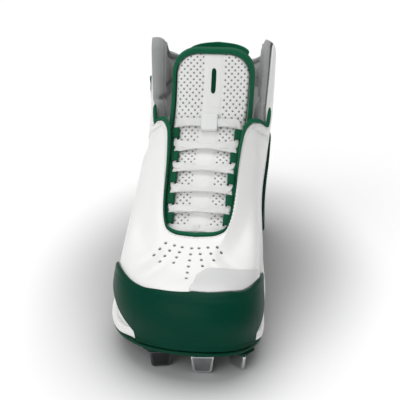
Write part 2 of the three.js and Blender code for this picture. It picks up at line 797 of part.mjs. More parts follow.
// The binding runs up one side of the tongue, round its top and down the other side
function bindingPath() {
  const half = read(TONGUE_SHARES, "half", 0.9) * THROAT_WIDTH;
  const top = TONGUE_LENGTH;
  const start = BINDING_START * TONGUE_LENGTH;
  const right = [];
  for (const h of spread(start, top - TONGUE_CORNER, 9)) right.push([half, h, 1, 0]);
  for (const angle of spread(0, Math.PI / 2, 6).slice(1)) {
    const x = half - TONGUE_CORNER + TONGUE_CORNER * Math.cos(angle);
    const h = top - TONGUE_CORNER + TONGUE_CORNER * Math.sin(angle);
    right.push([x, h, Math.cos(angle), Math.sin(angle)]);
  }
  right.push([half * 0.3, top, 0, 1]);
  const left = right.map(([x, h, outX, outH]) => [-x, h, -outX, outH]).reverse();
  return [...right, ...left];
}

function bindingGeometry() {
  const rings = bindingPath().map(([x, h, outX, outH]) => {
    const b = h / TONGUE_LENGTH;
    const thick = tongueThickness(b);
    const section = [
      [0, 0.2],
      [0.5, 0.6],
      [0.9, -0.4],
      [1, -0.5 * thick],
      [0.8, -0.95 * thick],
      [0, -thick],
    ];
    return section.map(([out, height]) => {
      const step = (out - 1) * BINDING_WIDTH;
      return onTongue(x + outX * step, b + (outH * step) / TONGUE_LENGTH, height);
    });
  });
  return loft(rings);
}

// Webbing loops along the throat, and the lace through them

const LOOP_ROWS = [0.233, 0.325, 0.425, 0.532, 0.645];
const SLOT_WIDTH = LACE_PINCH + 2 * SLOT_ROOM;
const SLOT_HEIGHT = LACE_THICKNESS + 2 * SLOT_ROOM;
const LOOP_WIDTH = SLOT_WIDTH + 2 * WEBBING;
const LOOP_HEIGHT = SLOT_HEIGHT + 2 * WEBBING;
const KEEPER_LIFT = 0.8; // the keeper's slot above the lace's own height
const LACE_HEIGHT = LOOP_HEIGHT / 2 + 3 * GAP; // lace's middle above the tongue

// Clear distance from the tongue's middle line to the piping on one side of the throat
function throatHalf(b, side) {
  const { middle } = tongueFrame(b);
  let low = 0;
  let high = 0.46;
  for (let i = 0; i < 24; i++) {
    const half = (low + high) / 2;
    if (edgePoint(half).y < middle.y) low = half;
    else high = half;
  }
  const rim = faceOffset(side * low, 1 + (GAP + PIPING_WIDTH) / PAST_EDGE, 0);
  return side * (rim.x - middle.x) - LOOP_CLEARANCE;
}

function loopMiddle(b, side) {
  return throatHalf(b, side) - LOOP_WIDTH / 2 - 2 * GAP;
}

function slottedBlock(width, height, slotWidth, slotHeight, length) {
  const rectangle = (w, h, Kind) => {
    const path = new Kind();
    path.moveTo(-w / 2, -h / 2);
    path.lineTo(w / 2, -h / 2);
    path.lineTo(w / 2, h / 2);
    path.lineTo(-w / 2, h / 2);
    path.closePath();
    return path;
  };
  const shape = rectangle(width, height, THREE.Shape);
  shape.holes.push(rectangle(slotWidth, slotHeight, THREE.Path));
  const geometry = new THREE.ExtrudeGeometry(shape, { depth: length, bevelEnabled: false });
  return geometry.translate(0, 0, -length / 2);
}

// Axes of a block that lies on the tongue's front face: across it, out of it and along it
function tongueBasis(x, b) {
  const reach = LOOP_LENGTH / 2 / TONGUE_LENGTH;
  const across = onTongue(x + 1, b).sub(onTongue(x - 1, b)).normalize();
  const along = onTongue(x, b + reach).sub(onTongue(x, b - reach)).normalize();
  const out = across.clone().cross(along).normalize();
  return new THREE.Matrix4().makeBasis(across, out, across.clone().cross(out));
}

function loopGeometry(b, side) {
  const x = side * loopMiddle(b, side);
  const block = slottedBlock(LOOP_WIDTH, LOOP_HEIGHT, SLOT_WIDTH, SLOT_HEIGHT, LOOP_LENGTH);
  const place = onTongue(x, b, LACE_HEIGHT);
  return block.applyMatrix4(tongueBasis(x, b)).translate(place.x, place.y, place.z);
}

// The loops of one side, joined by a strip of webbing that lies along the piping
function loopsGeometry(side) {
  const low = LACE_HEIGHT - LOOP_HEIGHT / 2 + GAP;
  const end = (0.25 * LOOP_LENGTH) / TONGUE_LENGTH;
  const places = spread(LOOP_ROWS[0] - end, LOOP_ROWS[LOOP_ROWS.length - 1] + end, 13);
  const rings = places.map((b) => {
    const outer = throatHalf(b, side);
    const inner = outer - 2 * GAP - 0.6 * WEBBING;
    const corners = [
      [inner, low],
      [outer, low],
      [outer, low + LOOP_STRIP],
      [inner, low + LOOP_STRIP],
    ];
    return corners.map(([x, height]) => onTongue(side * x, b, height));
  });
  const loops = LOOP_ROWS.map((b) => solidOf(loopGeometry(b, side)));
  return geometryOf(loops.reduce((strip, loop) => strip.add(loop), solidOf(loft(rings))));
}

// One lace's way from the bottom bar through every second loop of each side to the top bar.
// x is across the tongue and h along it, lift is over the other lace, and parts are steps to the next row.
function lacePath(side) {
  const reach = LOOP_LENGTH / 2 + 1;
  const turning = 2.3;
  const path = [];
  const row = (x, h, lift, width, parts) => path.push({ x, h, lift, width, parts });
  const heights = LOOP_ROWS.map((b) => b * TONGUE_LENGTH);
  row(-2 * side, heights[0] - reach - turning, 0, LACE_WIDTH, 2);
  let way = side;
  heights.forEach((h, level) => {
    const x = way * loopMiddle(LOOP_ROWS[level], way);
    const bend = x - turning * way;
    const last = level === heights.length - 1;
    row(bend, h - reach - turning, 0, LACE_WIDTH, 2);
    row(x, h - reach, 0, LACE_PINCH, 1);
    row(x, h, 0, LACE_PINCH, 1);
    row(x, h + reach, 0, LACE_PINCH, 2);
    row(bend, h + reach + turning, 0, LACE_WIDTH, last ? 3 : 2);
    if (!last) {
      const over = (way * side > 0) === (level % 2 === 0);
      row(0, (h + heights[level + 1]) / 2, over ? 0.45 : -0.25, LACE_WIDTH, 2);
    }
    way = -way;
  });
  row(2 * way, heights[heights.length - 1] + reach + turning, KEEPER_LIFT, LACE_WIDTH, 1);
  return path;
}

function laceStations(side) {
  const path = lacePath(side);
  const spans = path.length - 1;
  const points = path.map(({ x, h, lift }) => vector(x, h, lift));
  const route = new THREE.CatmullRomCurve3(points, false, "centripetal");
  const station = (k, f) => {
    const at = (k + f) / spans;
    const { x, y: h, z: lift } = route.getPoint(at);
    const tangent = route.getTangent(at);
    const across = Math.hypot(tangent.x, tangent.y);
    const width = mix(path[k].width, path[Math.min(k + 1, spans)].width, f);
    return { x, h, lift, width, outX: -tangent.y / across, outH: tangent.x / across };
  };
  const inner = path.slice(0, -1).flatMap(({ parts }, k) => range(parts).map((i) => station(k, i / parts)));
  return [...inner, station(spans, 0)];
}

function laceStrand(side) {
  const corners = [
    [-1, -1],
    [1, -1],
    [1, 1],
    [-1, 1],
  ];
  const rings = laceStations(side).map(({ x, h, lift, width, outX, outH }) =>
    corners.map(([wide, high]) => {
      const step = (wide * width) / 2;
      const height = LACE_HEIGHT + lift + (high * LACE_THICKNESS) / 2;
      return onTongue(x + outX * step, (h + outH * step) / TONGUE_LENGTH, height);
    }),
  );
  return loft(rings);
}

function laceGeometry() {
  return geometryOf(solidOf(laceStrand(1)).add(solidOf(laceStrand(-1))).simplify(LACE_DETAIL));
}

function keeperGeometry() {
  const last = LOOP_ROWS[LOOP_ROWS.length - 1];
  const b = last + (LOOP_LENGTH / 2 + 4) / TONGUE_LENGTH;
  const { along, normal } = tongueFrame(b);
  const slotWidth = LACE_WIDTH + 2.4;
  const slotHeight = LACE_THICKNESS + 4 * SLOT_ROOM;
  const block = slottedBlock(
    KEEPER_HEIGHT,
    slotHeight + 2 * WEBBING,
    slotWidth,
    slotHeight,
    KEEPER_WIDTH,
  );
  const basis = new THREE.Matrix4().makeBasis(along, normal, along.clone().cross(normal));
  const place = onTongue(0, b, LACE_HEIGHT + KEEPER_LIFT);
  return block.applyMatrix4(basis).translate(place.x, place.y, place.z);
}

// Materials

const leather = { color: 0xefefed, roughness: 0.42, metalness: 0 };
const green = { color: 0x0a4a36, roughness: 0.35, metalness: 0 };
const webbing = { color: 0x14583f, roughness: 0.75, metalness: 0 };
const padding = { color: 0xa9aaa9, roughness: 0.6, metalness: 0 };
const foam = { color: 0xf2f2f0, roughness: 0.6, metalness: 0 };
const steel = { color: 0x8d9092, roughness: 0.3, metalness: 1 };
const paleGrey = { color: 0xd8d9d8, roughness: 0.4, metalness: 0 };
const laceWhite = { color: 0xf4f4f2, roughness: 0.85, metalness: 0 };

const shoe = new THREE.Group();

function add(name, geometry, finish) {
  const mesh = new THREE.Mesh(geometry, new THREE.MeshStandardMaterial(finish));
  mesh.name = name;
  shoe.add(mesh);
}

add("outsole_plate", plateGeometry(), green);
for (const spike of SPIKES) add(spike.name, bladeGeometry(spike), steel);
add("midsole", midsoleGeometry(), foam);
add("insole", insoleGeometry(), padding);
add("upper", upperGeometry(), leather);
add("toe_bumper", bumperGeometry(), green);
add("toe_overlay", toeOverlayGeometry(), paleGrey);
add("heel_counter", counterGeometry(), green);
add("collar_lining", liningGeometry(), padding);
add("throat_piping", pipingGeometry(), webbing);
add("heel_tab", heelTabGeometry(), webbing);
add("side_tab", sideTabGeometry(), webbing);
add("tongue", tongueGeometry(), leather);
add("tongue_binding", bindingGeometry(), webbing);
add("tongue_keeper", keeperGeometry(), laceWhite);
add("lace_loops_medial", loopsGeometry(1), webbing);
add("lace_loops_lateral", loopsGeometry(-1), webbing);
add("lace", laceGeometry(), laceWhite);

// The shoe stands on the ground with its box centred on the origin
const box = new THREE.Box3().setFromObject(shoe);
const centre = box.getCenter(new THREE.Vector3());
shoe.position.set(-centre.x, -centre.y, -box.min.z);

export default shoe;
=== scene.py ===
"""Looks of the athletic cleat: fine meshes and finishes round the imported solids.

Shapes are worked out in millimetres in the shoe's own frame, with the toe to -Y, the medial
side to +X and +Z up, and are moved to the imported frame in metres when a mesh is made.
"""

import logging
import math
from dataclasses import dataclass, field
from enum import Enum
from typing import Callable, Optional, Sequence, Union

import bmesh
import bpy
import numpy as np
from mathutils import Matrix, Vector


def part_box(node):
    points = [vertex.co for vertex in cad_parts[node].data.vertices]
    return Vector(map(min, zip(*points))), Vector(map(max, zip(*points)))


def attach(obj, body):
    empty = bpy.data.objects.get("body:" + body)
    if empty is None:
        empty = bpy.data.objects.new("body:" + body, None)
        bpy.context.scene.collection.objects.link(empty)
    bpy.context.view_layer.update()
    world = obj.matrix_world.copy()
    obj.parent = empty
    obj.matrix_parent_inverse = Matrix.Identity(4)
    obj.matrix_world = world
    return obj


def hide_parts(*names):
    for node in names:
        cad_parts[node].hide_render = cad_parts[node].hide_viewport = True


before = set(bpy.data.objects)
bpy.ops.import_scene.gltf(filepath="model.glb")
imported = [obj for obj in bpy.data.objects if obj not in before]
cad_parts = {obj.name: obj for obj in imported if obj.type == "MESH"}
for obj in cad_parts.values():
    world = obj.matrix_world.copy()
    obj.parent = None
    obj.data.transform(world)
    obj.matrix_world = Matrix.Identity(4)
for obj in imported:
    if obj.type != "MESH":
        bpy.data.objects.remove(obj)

Points = np.ndarray
Values = Union[float, np.ndarray]
LOG = logging.getLogger("cleat")
MM = 0.001


@dataclass(frozen=True)
class ShoeSizes:
    """Driving sizes of the shoe in millimetres, the same as in the part's source."""

    length: float = 297.0
    ball_width: float = 104.0
    toe_height: float = 39.0
    vamp_height: float = 50.0
    instep_height: float = 97.0
    collar_height: float = 142.0
    heel_height: float = 109.0
    toe_swing: float = 13.0
    collar_shift: float = 5.5
    throat_width: float = 49.0
    collar_width: float = 93.0
    spike_drop: float = 12.5
    plate_thickness: float = 4.0
    midsole_fore: float = 7.0
    midsole_heel: float = 20.0
    toe_spring: float = 7.0
    arch_rise: float = 4.0
    plate_inset: float = 0.8
    midsole_flare: float = 2.6
    insole_thickness: float = 4.0
    pod_depth: float = 3.6
    blade_width: float = 15.0
    blade_thickness: float = 2.6
    toe_spike_lift: float = 0.9
    wall: float = 2.5
    gap: float = 0.3
    lift: float = 0.6
    bumper_thickness: float = 2.0
    counter_thickness: float = 1.4
    overlay_thickness: float = 0.8
    lining_thickness: float = 7.5
    lining_roll: float = 2.6
    piping_width: float = 3.4
    lace_width: float = 5.6
    loop_length: float = 8.5
    loop_clearance: float = 1.7
    loop_strip: float = 2.4
    slot_room: float = 0.6
    tongue_thickness: float = 9.0
    tongue_crown: float = 10.0
    keeper_width: float = 14.0
    heel_tab_rise: float = 13.5
    heel_tab_thickness: float = 3.2
    side_tab_thickness: float = 3.0


S = ShoeSizes()
SIDE_COLUMNS = 36  # columns on each side of the shoe, from toe to heel
SPRING_SHARE = 0.24  # share of the length over which the toe springs
SEAM_LEVEL = 0.2  # level of the seam between the midsole and the upper
PAST_EDGE = 100.0  # millimetres in a whole level past the upper's edge
EAR_START = (0.53, 0.56)  # ways from toe to heel between which the ears begin
MEDIAL_EAR_END = (0.64, 0.75)
LATERAL_EAR_END = (0.565, 0.61)
EAR_TUCK = 4.8  # how far the medial ear's edge is drawn in, in millimetres
LATERAL_TUCK = 0.5  # the same for the lateral ear
EAR_DROP = 2.6  # how much lower the white edge sits under the ears' roll
EAR_REACH = 14.0  # how far down from the edge the ears are drawn in


def mix(low: Values, high: Values, share: Values) -> Values:
    """Blend two values by a share."""
    return low + (high - low) * share


def smooth(at: Values, low: float, high: float) -> Values:
    """Rise softly from 0 at low to 1 at high."""
    share = np.clip((np.asarray(at, float) - low) / (high - low), 0, 1)
    return share * share * (3 - 2 * share)


def bell(distance: Values, width: float) -> Values:
    """Fall off softly from 1 at no distance, with a width at about a third of the height."""
    return np.exp(-((np.asarray(distance, float) / width) ** 2))


def quarter(distance: Values, radius: float) -> Values:
    """Rise from 0 to 1 like a quarter circle over a radius."""
    share = np.clip(np.asarray(distance, float) / radius, 0, 1)
    return np.sqrt(1 - (1 - share) ** 2)


def unit(vectors: Points) -> Points:
    """Give vectors the length 1."""
    return vectors / np.maximum(np.linalg.norm(vectors, axis=-1, keepdims=True), 1e-12)


def full_turn(count: int) -> Points:
    """Angles of a whole turn in even steps."""
    return np.linspace(0, 2 * np.pi, count, endpoint=False)


def squared(wave: Points, power: float) -> Points:
    """Push a sine or cosine towards a square wave, the more the smaller the power."""
    return np.sign(wave) * np.abs(wave) ** power


def way_along(points: Points) -> Points:
    """Distances along a line to each of its points."""
    return np.concatenate([[0], np.cumsum(np.linalg.norm(np.diff(points, axis=0), axis=-1))])


class Table:
    """Columns over a place, read as smooth curves that never overshoot their rows."""

    def __init__(self, names: str, rows: Sequence[Sequence[float]]) -> None:
        """Keep the names of the columns and their rows.

        Args:
            names: Column names, the place first.
            rows: One value for each name, in rising order of the place.
        """
        self.names = names.split()
        self.values = np.array(rows, float)

    def read(self, column: str, at: Values) -> Points:
        """Read a column at places.

        Args:
            column: Name of the column.
            at: One place or many.

        Returns:
            The column's values there.
        """
        place = self.values[:, 0]
        value = self.values[:, self.names.index(column)]
        slope = np.diff(value) / np.diff(place)
        product = slope[:-1] * slope[1:]
        total = np.where(product > 0, slope[:-1] + slope[1:], 1)
        inner = np.where(product > 0, 2 * product / total, 0)
        bend = np.concatenate([slope[:1], inner, slope[-1:]])
        at = np.clip(np.asarray(at, float), place[0], place[-1])
        i = np.clip(np.searchsorted(place, at) - 1, 0, len(slope) - 1)
        span = place[i + 1] - place[i]
        f = (at - place[i]) / span
        rest = 1 - f
        straight = value[i] * (1 + 2 * f) * rest**2 + value[i + 1] * (3 - 2 * f) * f**2
        return straight + span * f * rest * (bend[i] * rest - bend[i + 1] * f)


class Route:
    """A centripetal Catmull-Rom curve through points, or many such curves side by side."""

    def __init__(self, points: Points) -> None:
        """Add the two outer points that shape the ends.

        Args:
            points: Shape (n, 3), or (curves, n, 3) for many curves.
        """
        first = 2 * points[..., :1, :] - points[..., 1:2, :]
        last = 2 * points[..., -1:, :] - points[..., -2:-1, :]
        self.points = np.concatenate([first, points, last], axis=-2)
        self.spans = points.shape[-2] - 1

    def at(self, share: Values) -> Points:
        """Give the points at shares of the curve, one share for each curve where there are many."""
        place = np.clip(np.asarray(share, float), 0, 1) * self.spans
        k = np.minimum(place.astype(int), self.spans - 1)
        w = (place - k)[..., None]
        many = self.points.ndim == 3
        curve = np.arange(len(k)) if many else None
        x = [self.points[curve, k + i] if many else self.points[k + i] for i in range(4)]
        gaps = [np.linalg.norm(x[i + 1] - x[i], axis=-1, keepdims=True) ** 0.5 for i in range(3)]
        gaps[1] = np.where(gaps[1] < 1e-4, 1, gaps[1])
        before = np.where(gaps[0] < 1e-4, gaps[1], gaps[0])
        after = np.where(gaps[2] < 1e-4, gaps[1], gaps[2])
        mid = gaps[1]
        rise = (x[1] - x[0]) / before - (x[2] - x[0]) / (before + mid) + (x[2] - x[1]) / mid
        fall = (x[2] - x[1]) / mid - (x[3] - x[1]) / (mid + after) + (x[3] - x[2]) / after
        rise, fall = rise * mid, fall * mid
        square = -3 * x[1] + 3 * x[2] - 2 * rise - fall
        cube = 2 * x[1] - 2 * x[2] + rise + fall
        return x[1] + rise * w + square * w**2 + cube * w**3

    def tangent(self, share: Values) -> Points:
        """Give the unit directions at shares of the curve."""
        share = np.asarray(share, float)
        step = 1e-4
        return unit(self.at(np.minimum(share + step, 1)) - self.at(np.maximum(share - step, 0)))


def plate_bottom(u: Values) -> Points:
    """Height of the plate's underside at shares of the length."""
    spring = S.toe_spring * np.maximum(0, 1 - np.asarray(u) / SPRING_SHARE) ** 2
    arch = S.arch_rise * smooth(u, 0.36, 0.52) * (1 - smooth(u, 0.6, 0.74))
    return S.spike_drop + spring + arch


def midsole_top(u: Values) -> Points:
    """Height of the midsole's top at shares of the length."""
    foam = mix(S.midsole_fore, S.midsole_heel, smooth(u, 0.3, 0.68))
    return plate_bottom(u) + S.plate_thickness + foam


def turn(p: Values) -> tuple[Points, Points]:
    """Split places round the shoe into the way from toe to heel and the side, 1 or -1."""
    way = np.mod(np.asarray(p, float), 2)
    return np.where(way <= 1, way, 2 - way), np.where(way <= 1, 1.0, -1.0)


def round_end(share: Values, zone: float, power: float) -> Points:
    """Share of the full width near a rounded end."""
    rest = np.clip((zone - np.asarray(share, float)) / zone, 0, 1)
    return (1 - rest**power) ** (1 / power)


@dataclass(frozen=True)
class Rail:
    """One rail round the shoe: where it ends, how its ends round, and its widths and heights."""

    toe: float
    heel: float
    nose: float
    tail: float
    power: float
    rows: Table

    def point(self, p: Points, crest: Table) -> Points:
        """Give the rail's points at places round the shoe."""
        t, side = turn(p)
        share = (1 - np.cos(np.pi * t)) / 2
        u = mix(self.toe, self.heel, share)
        ends = round_end(share, self.nose, self.power)
        ends = ends * round_end(1 - share, self.tail, self.power)
        wide = np.where(side > 0, self.rows.read("medial", u), self.rows.read("lateral", u))
        z = midsole_top(u) + self.rows.read("rise", u) * crest.read("rise", u)
        swing = S.toe_swing * np.maximum(0, 1 - u / SPRING_SHARE) ** 2 + smooth(u, 0.7, 1)
        x = swing + side * wide * S.ball_width * ends
        return np.stack([x, (u - 0.5) * S.length, z], axis=-1)


class ShoeFace:
    """The shoe's outer face: level 0 is the midsole's foot, 0.2 its top and 1 the upper's edge."""

    CREST = Table("u rise", [
        [0.0, 0.72 * S.toe_height],
        [0.06, 0.87 * S.toe_height],
        [0.127, S.toe_height],
        [0.25, S.vamp_height],
        [0.4, 0.8 * S.instep_height],
        [0.5, S.instep_height],
        [0.57, 1.17 * S.instep_height],
        [0.64, S.collar_height],
        [0.75, 0.93 * S.collar_height],
        [0.85, 1.12 * S.heel_height],
        [1.0, S.heel_height],
    ])
    SOLE = Rail(0.008, 0.992, 0.2, 0.16, 2.3, Table("u medial lateral rise", [
        [0.0, 0.455, 0.455, 0],
        [0.12, 0.47, 0.465, 0],
        [0.25, 0.465, 0.49, 0],
        [0.34, 0.46, 0.495, 0],
        [0.46, 0.43, 0.46, 0],
        [0.6, 0.395, 0.415, 0],
        [0.75, 0.39, 0.37, 0],
        [0.88, 0.39, 0.35, 0],
        [1.0, 0.39, 0.35, 0],
    ]))
    WALL = Rail(0, 1, 0.2, 0.16, 2.3, Table("u medial lateral rise", [
        [0.0, 0.46, 0.46, 0.46],
        [0.12, 0.468, 0.46, 0.45],
        [0.25, 0.468, 0.486, 0.36],
        [0.34, 0.468, 0.497, 0.3],
        [0.46, 0.445, 0.475, 0.2],
        [0.6, 0.41, 0.43, 0.14],
        [0.75, 0.4, 0.37, 0.14],
        [0.88, 0.385, 0.345, 0.2],
        [1.0, 0.38, 0.34, 0.22],
    ]))
    SHOULDER = Rail(0.027, 0.99, 0.22, 0.18, 2.25, Table("u medial lateral rise", [
        [0.027, 0.41, 0.41, 0.9],
        [0.12, 0.42, 0.415, 0.8],
        [0.25, 0.448, 0.445, 0.75],
        [0.34, 0.448, 0.455, 0.66],
        [0.46, 0.435, 0.445, 0.5],
        [0.6, 0.44, 0.41, 0.37],
        [0.75, 0.43, 0.37, 0.38],
        [0.88, 0.38, 0.33, 0.5],
        [1.0, 0.37, 0.32, 0.56],
    ]))
    ANKLE = Rail(0.122, 0.972, 0.3, 0.2, 2.1, Table("u medial lateral rise", [
        [0.12, 0.29, 0.29, 1.0],
        [0.25, 0.35, 0.35, 0.93],
        [0.34, 0.37, 0.375, 0.9],
        [0.46, 0.41, 0.385, 0.84],
        [0.55, 0.45, 0.395, 0.68],
        [0.65, 0.475, 0.42, 0.57],
        [0.75, 0.465, 0.405, 0.58],
        [0.88, 0.4, 0.34, 0.72],
        [1.0, 0.34, 0.29, 0.78],
    ]))
    EDGE = Table("t half y shift rise", [
        [0.0, 0, -0.26, 0.64 * S.collar_shift, S.vamp_height],
        [0.06, 0.25 * S.throat_width, -0.255, 0.64 * S.collar_shift, 1.01 * S.vamp_height],
        [0.12, 0.425 * S.throat_width, -0.234, 0.64 * S.collar_shift, 1.06 * S.vamp_height],
        [0.2, 0.5 * S.throat_width, -0.182, 0.64 * S.collar_shift, 0.64 * S.instep_height],
        [0.32, 0.525 * S.throat_width, -0.101, 0.67 * S.collar_shift, 0.835 * S.instep_height],
        [0.42, 0.575 * S.throat_width, -0.027, 0.73 * S.collar_shift, 0.955 * S.instep_height],
        [0.465, 0.35 * S.collar_width, 0.003, 0.8 * S.collar_shift, 0.985 * S.instep_height],
        [0.5, 0.41 * S.collar_width, 0.026, 0.91 * S.collar_shift, 0.955 * S.instep_height],
        [0.527, 0.455 * S.collar_width, 0.05, S.collar_shift, 0.89 * S.instep_height],
        [0.555, 0.475 * S.collar_width, 0.076, S.collar_shift, 0.73 * S.collar_height],
        [0.583, 0.49 * S.collar_width, 0.1, S.collar_shift, 0.87 * S.collar_height],
        [0.611, 0.497 * S.collar_width, 0.122, S.collar_shift, 0.965 * S.collar_height],
        [0.64, 0.5 * S.collar_width, 0.146, S.collar_shift, S.collar_height],
        [0.68, 0.497 * S.collar_width, 0.178, S.collar_shift, 0.985 * S.collar_height],
        [0.74, 0.475 * S.collar_width, 0.236, 0.91 * S.collar_shift, 0.915 * S.collar_height],
        [0.82, 0.42 * S.collar_width, 0.326, 0.73 * S.collar_shift, 1.1 * S.heel_height],
        [0.9, 0.3 * S.collar_width, 0.405, 0.45 * S.collar_shift, 1.02 * S.heel_height],
        [0.96, 0.145 * S.collar_width, 0.445, 0.25 * S.collar_shift, S.heel_height],
        [1.0, 0, 0.458, 0.18 * S.collar_shift, S.heel_height],
    ])

    def edge(self, p: Values) -> Points:
        """Give points of the upper's edge at places round the shoe."""
        t, side = turn(p)
        y = self.EDGE.read("y", t)
        x = self.EDGE.read("shift", t) + side * self.EDGE.read("half", t)
        z = midsole_top(y + 0.5) + self.EDGE.read("rise", t)
        return np.stack([x, y * S.length, z], axis=-1)

    def lines(self, p: Points) -> Route:
        """Give the curves up the face at places round the shoe."""
        seam = self.SOLE.point(p, self.CREST)
        foot = seam.copy()
        foot[:, 2] = plate_bottom(seam[:, 1] / S.length + 0.5) + S.plate_thickness
        rails = [rail.point(p, self.CREST) for rail in (self.WALL, self.SHOULDER, self.ANKLE)]
        return Route(np.stack([foot, seam, *rails, self.edge(p)], axis=1))

    def point(self, p: Values, level: Values) -> Points:
        """Give points of the face.

        Args:
            p: Places round the shoe, 0 at the toe, 1 at the heel by the medial side.
            level: Levels up the face; past 1 each whole level is PAST_EDGE millimetres.

        Returns:
            Points with the two arguments' common shape and a last axis of x, y and z.
        """
        p, level = np.broadcast_arrays(np.asarray(p, float), np.asarray(level, float))
        shape = p.shape
        p, level = p.ravel(), level.ravel()
        route = self.lines(p)
        inside = route.at(np.clip(level, 0, 1))
        past = np.maximum(level - 1, 0)[:, None] * PAST_EDGE
        if past.any():
            inside = inside + route.tangent(np.ones_like(level)) * past
        return inside.reshape(*shape, 3)

    def normal(self, p: Values, level: Values) -> Points:
        """Give the face's outward directions."""
        step = 0.01
        p, level = np.broadcast_arrays(np.asarray(p, float), np.asarray(level, float))
        along = self.point(p + step, level) - self.point(p - step, level)
        high = np.maximum(np.minimum(level, 1) + step / 2, step)
        up = self.point(p, high) - self.point(p, high - step)
        return unit(np.cross(along, up))

    def offset(self, p: Values, level: Values, distance: Values) -> Points:
        """Give points at distances outside the face."""
        return self.point(p, level) + self.normal(p, level) * np.asarray(distance)[..., None]

    def edge_speed(self, p: Values) -> Points:
        """Give the millimetres that a whole level spans just below the upper's edge."""
        step = 0.02
        return np.linalg.norm(self.point(p, 1.0) - self.point(p, 1 - step), axis=-1) / step

    def below_edge(self, p: Values, distance: Values) -> Points:
        """Give the levels that lie a distance in millimetres below the upper's edge."""
        return 1 - np.asarray(distance) / self.edge_speed(p)


FACE = ShoeFace()


def ear_share(p: Values) -> Points:
    """How much of an ear there is at places, from 0 to 1."""
    t, side = turn(p)
    end = np.where(side > 0, smooth(t, *MEDIAL_EAR_END), smooth(t, *LATERAL_EAR_END))
    return smooth(t, *EAR_START) * (1 - end)


def tuck(p: Values, level: Values) -> Points:
    """How far the padded ears draw their edge inwards, in millimetres, at places and levels."""
    side = turn(p)[1]
    below = np.maximum(1 - np.asarray(level, float), 0) * FACE.edge_speed(p)
    deep = np.where(side > 0, EAR_TUCK, LATERAL_TUCK) * ear_share(p)
    return deep * (1 - quarter(below, EAR_REACH))


def placed_shift() -> Points:
    """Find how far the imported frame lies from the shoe's own, in millimetres, from one spike."""
    low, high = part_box("spike_heel_back")
    centre = np.array((low + high) / 2) / MM
    design = np.array([0.01 * S.ball_width, 0.43 * S.length])
    return np.array([*(centre[:2] - design), 0.0])


SHIFT = placed_shift()


@dataclass
class Shape:
    """A closed mesh in the making, in millimetres of the shoe's own frame."""

    points: Points
    faces: list[tuple[int, ...]]
    marks: dict[str, Points] = field(default_factory=dict)

    def blank(self, name: str) -> None:
        """Add a mark that is 0 at every point."""
        self.marks[name] = np.zeros(len(self.points))

    def outward(self) -> "Shape":
        """Turn all faces round if they point inwards."""
        volume = 0.0
        quads = np.array([(*f[:3], f[3] if len(f) > 3 else f[2]) for f in self.faces])
        a, b, c, d = (self.points[quads[:, i]] for i in range(4))
        volume += np.einsum("ij,ij->", a, np.cross(b, c))
        volume += np.einsum("ij,ij->", a, np.cross(c, d))
        if volume < 0:
            self.faces = [face[::-1] for face in self.faces]
        return self


def ring_marks(rings: Points) -> Points:
    """Measure each point's way across its ring and along the rings, in millimetres."""
    across = np.linalg.norm(np.diff(rings, axis=1), axis=-1)
    across = np.concatenate([np.zeros((len(rings), 1)), np.cumsum(across, axis=1)], axis=1)
    steps = np.linalg.norm(np.diff(rings, axis=0), axis=-1).mean(axis=1)
    along = np.concatenate([[0], np.cumsum(steps)])[:, None] + np.zeros_like(across)
    return np.stack([across, along, np.zeros_like(across)], axis=-1).reshape(-1, 3)


class Cap(Enum):
    """How a loft's end is closed."""

    PAIRS = "strips between opposite points of a thin ring"
    DISC = "one flat face"


def loft(rings: Points, looped: bool = False, cap: Cap = Cap.PAIRS, tip: int = 1) -> Shape:
    """Join rings of equal count into a closed body.

    Args:
        rings: Points with shape (rings, count, 3).
        looped: Whether the last ring joins the first.
        cap: How the two ends are closed.
        tip: 1 where a ring is mirrored about its near side, 0 about its first point.

    Returns:
        The closed shape, with a mark "flat" that gives millimetres across and along.
    """
    count, around = rings.shape[:2]
    first = np.arange(count if looped else count - 1)[:, None] * around
    second = (np.arange(count if looped else count - 1)[:, None] + 1) % count * around
    i = np.arange(around)
    j = (i + 1) % around
    quads = np.stack([first + i, first + j, second + j, second + i], axis=-1).reshape(-1, 4)
    faces = [tuple(quad) for quad in quads.tolist()]
    if not looped:
        for start, flip in ((0, True), ((count - 1) * around, False)):
            for face in end_faces(around, cap, tip):
                corners = tuple(start + k for k in face)
                faces.append(corners[::-1] if flip else corners)
    shape = Shape(rings.reshape(-1, 3), faces, {"flat": ring_marks(rings)})
    return shape.outward()


def end_faces(around: int, cap: Cap, tip: int) -> list[tuple[int, ...]]:
    """List the faces that close a ring of so many points."""
    if cap is Cap.DISC:
        return [tuple(range(around))]
    faces = []
    i = 0
    while i + 1 <= around - tip - i - 1:
        corners = [i, i + 1, around - tip - i - 1, (around - tip - i) % around]
        face = tuple(dict.fromkeys(corners))
        if len(face) > 2:
            faces.append(face)
        i += 1
    return faces


def join(shapes: Sequence[Shape]) -> Shape:
    """Put several shapes into one, each still closed in itself."""
    points, faces, marks, start = [], [], {}, 0
    for shape in shapes:
        points.append(shape.points)
        faces.extend(tuple(k + start for k in face) for face in shape.faces)
        start += len(shape.points)
    for name in shapes[0].marks:
        marks[name] = np.concatenate([shape.marks[name] for shape in shapes])
    return Shape(np.concatenate(points), faces, marks)


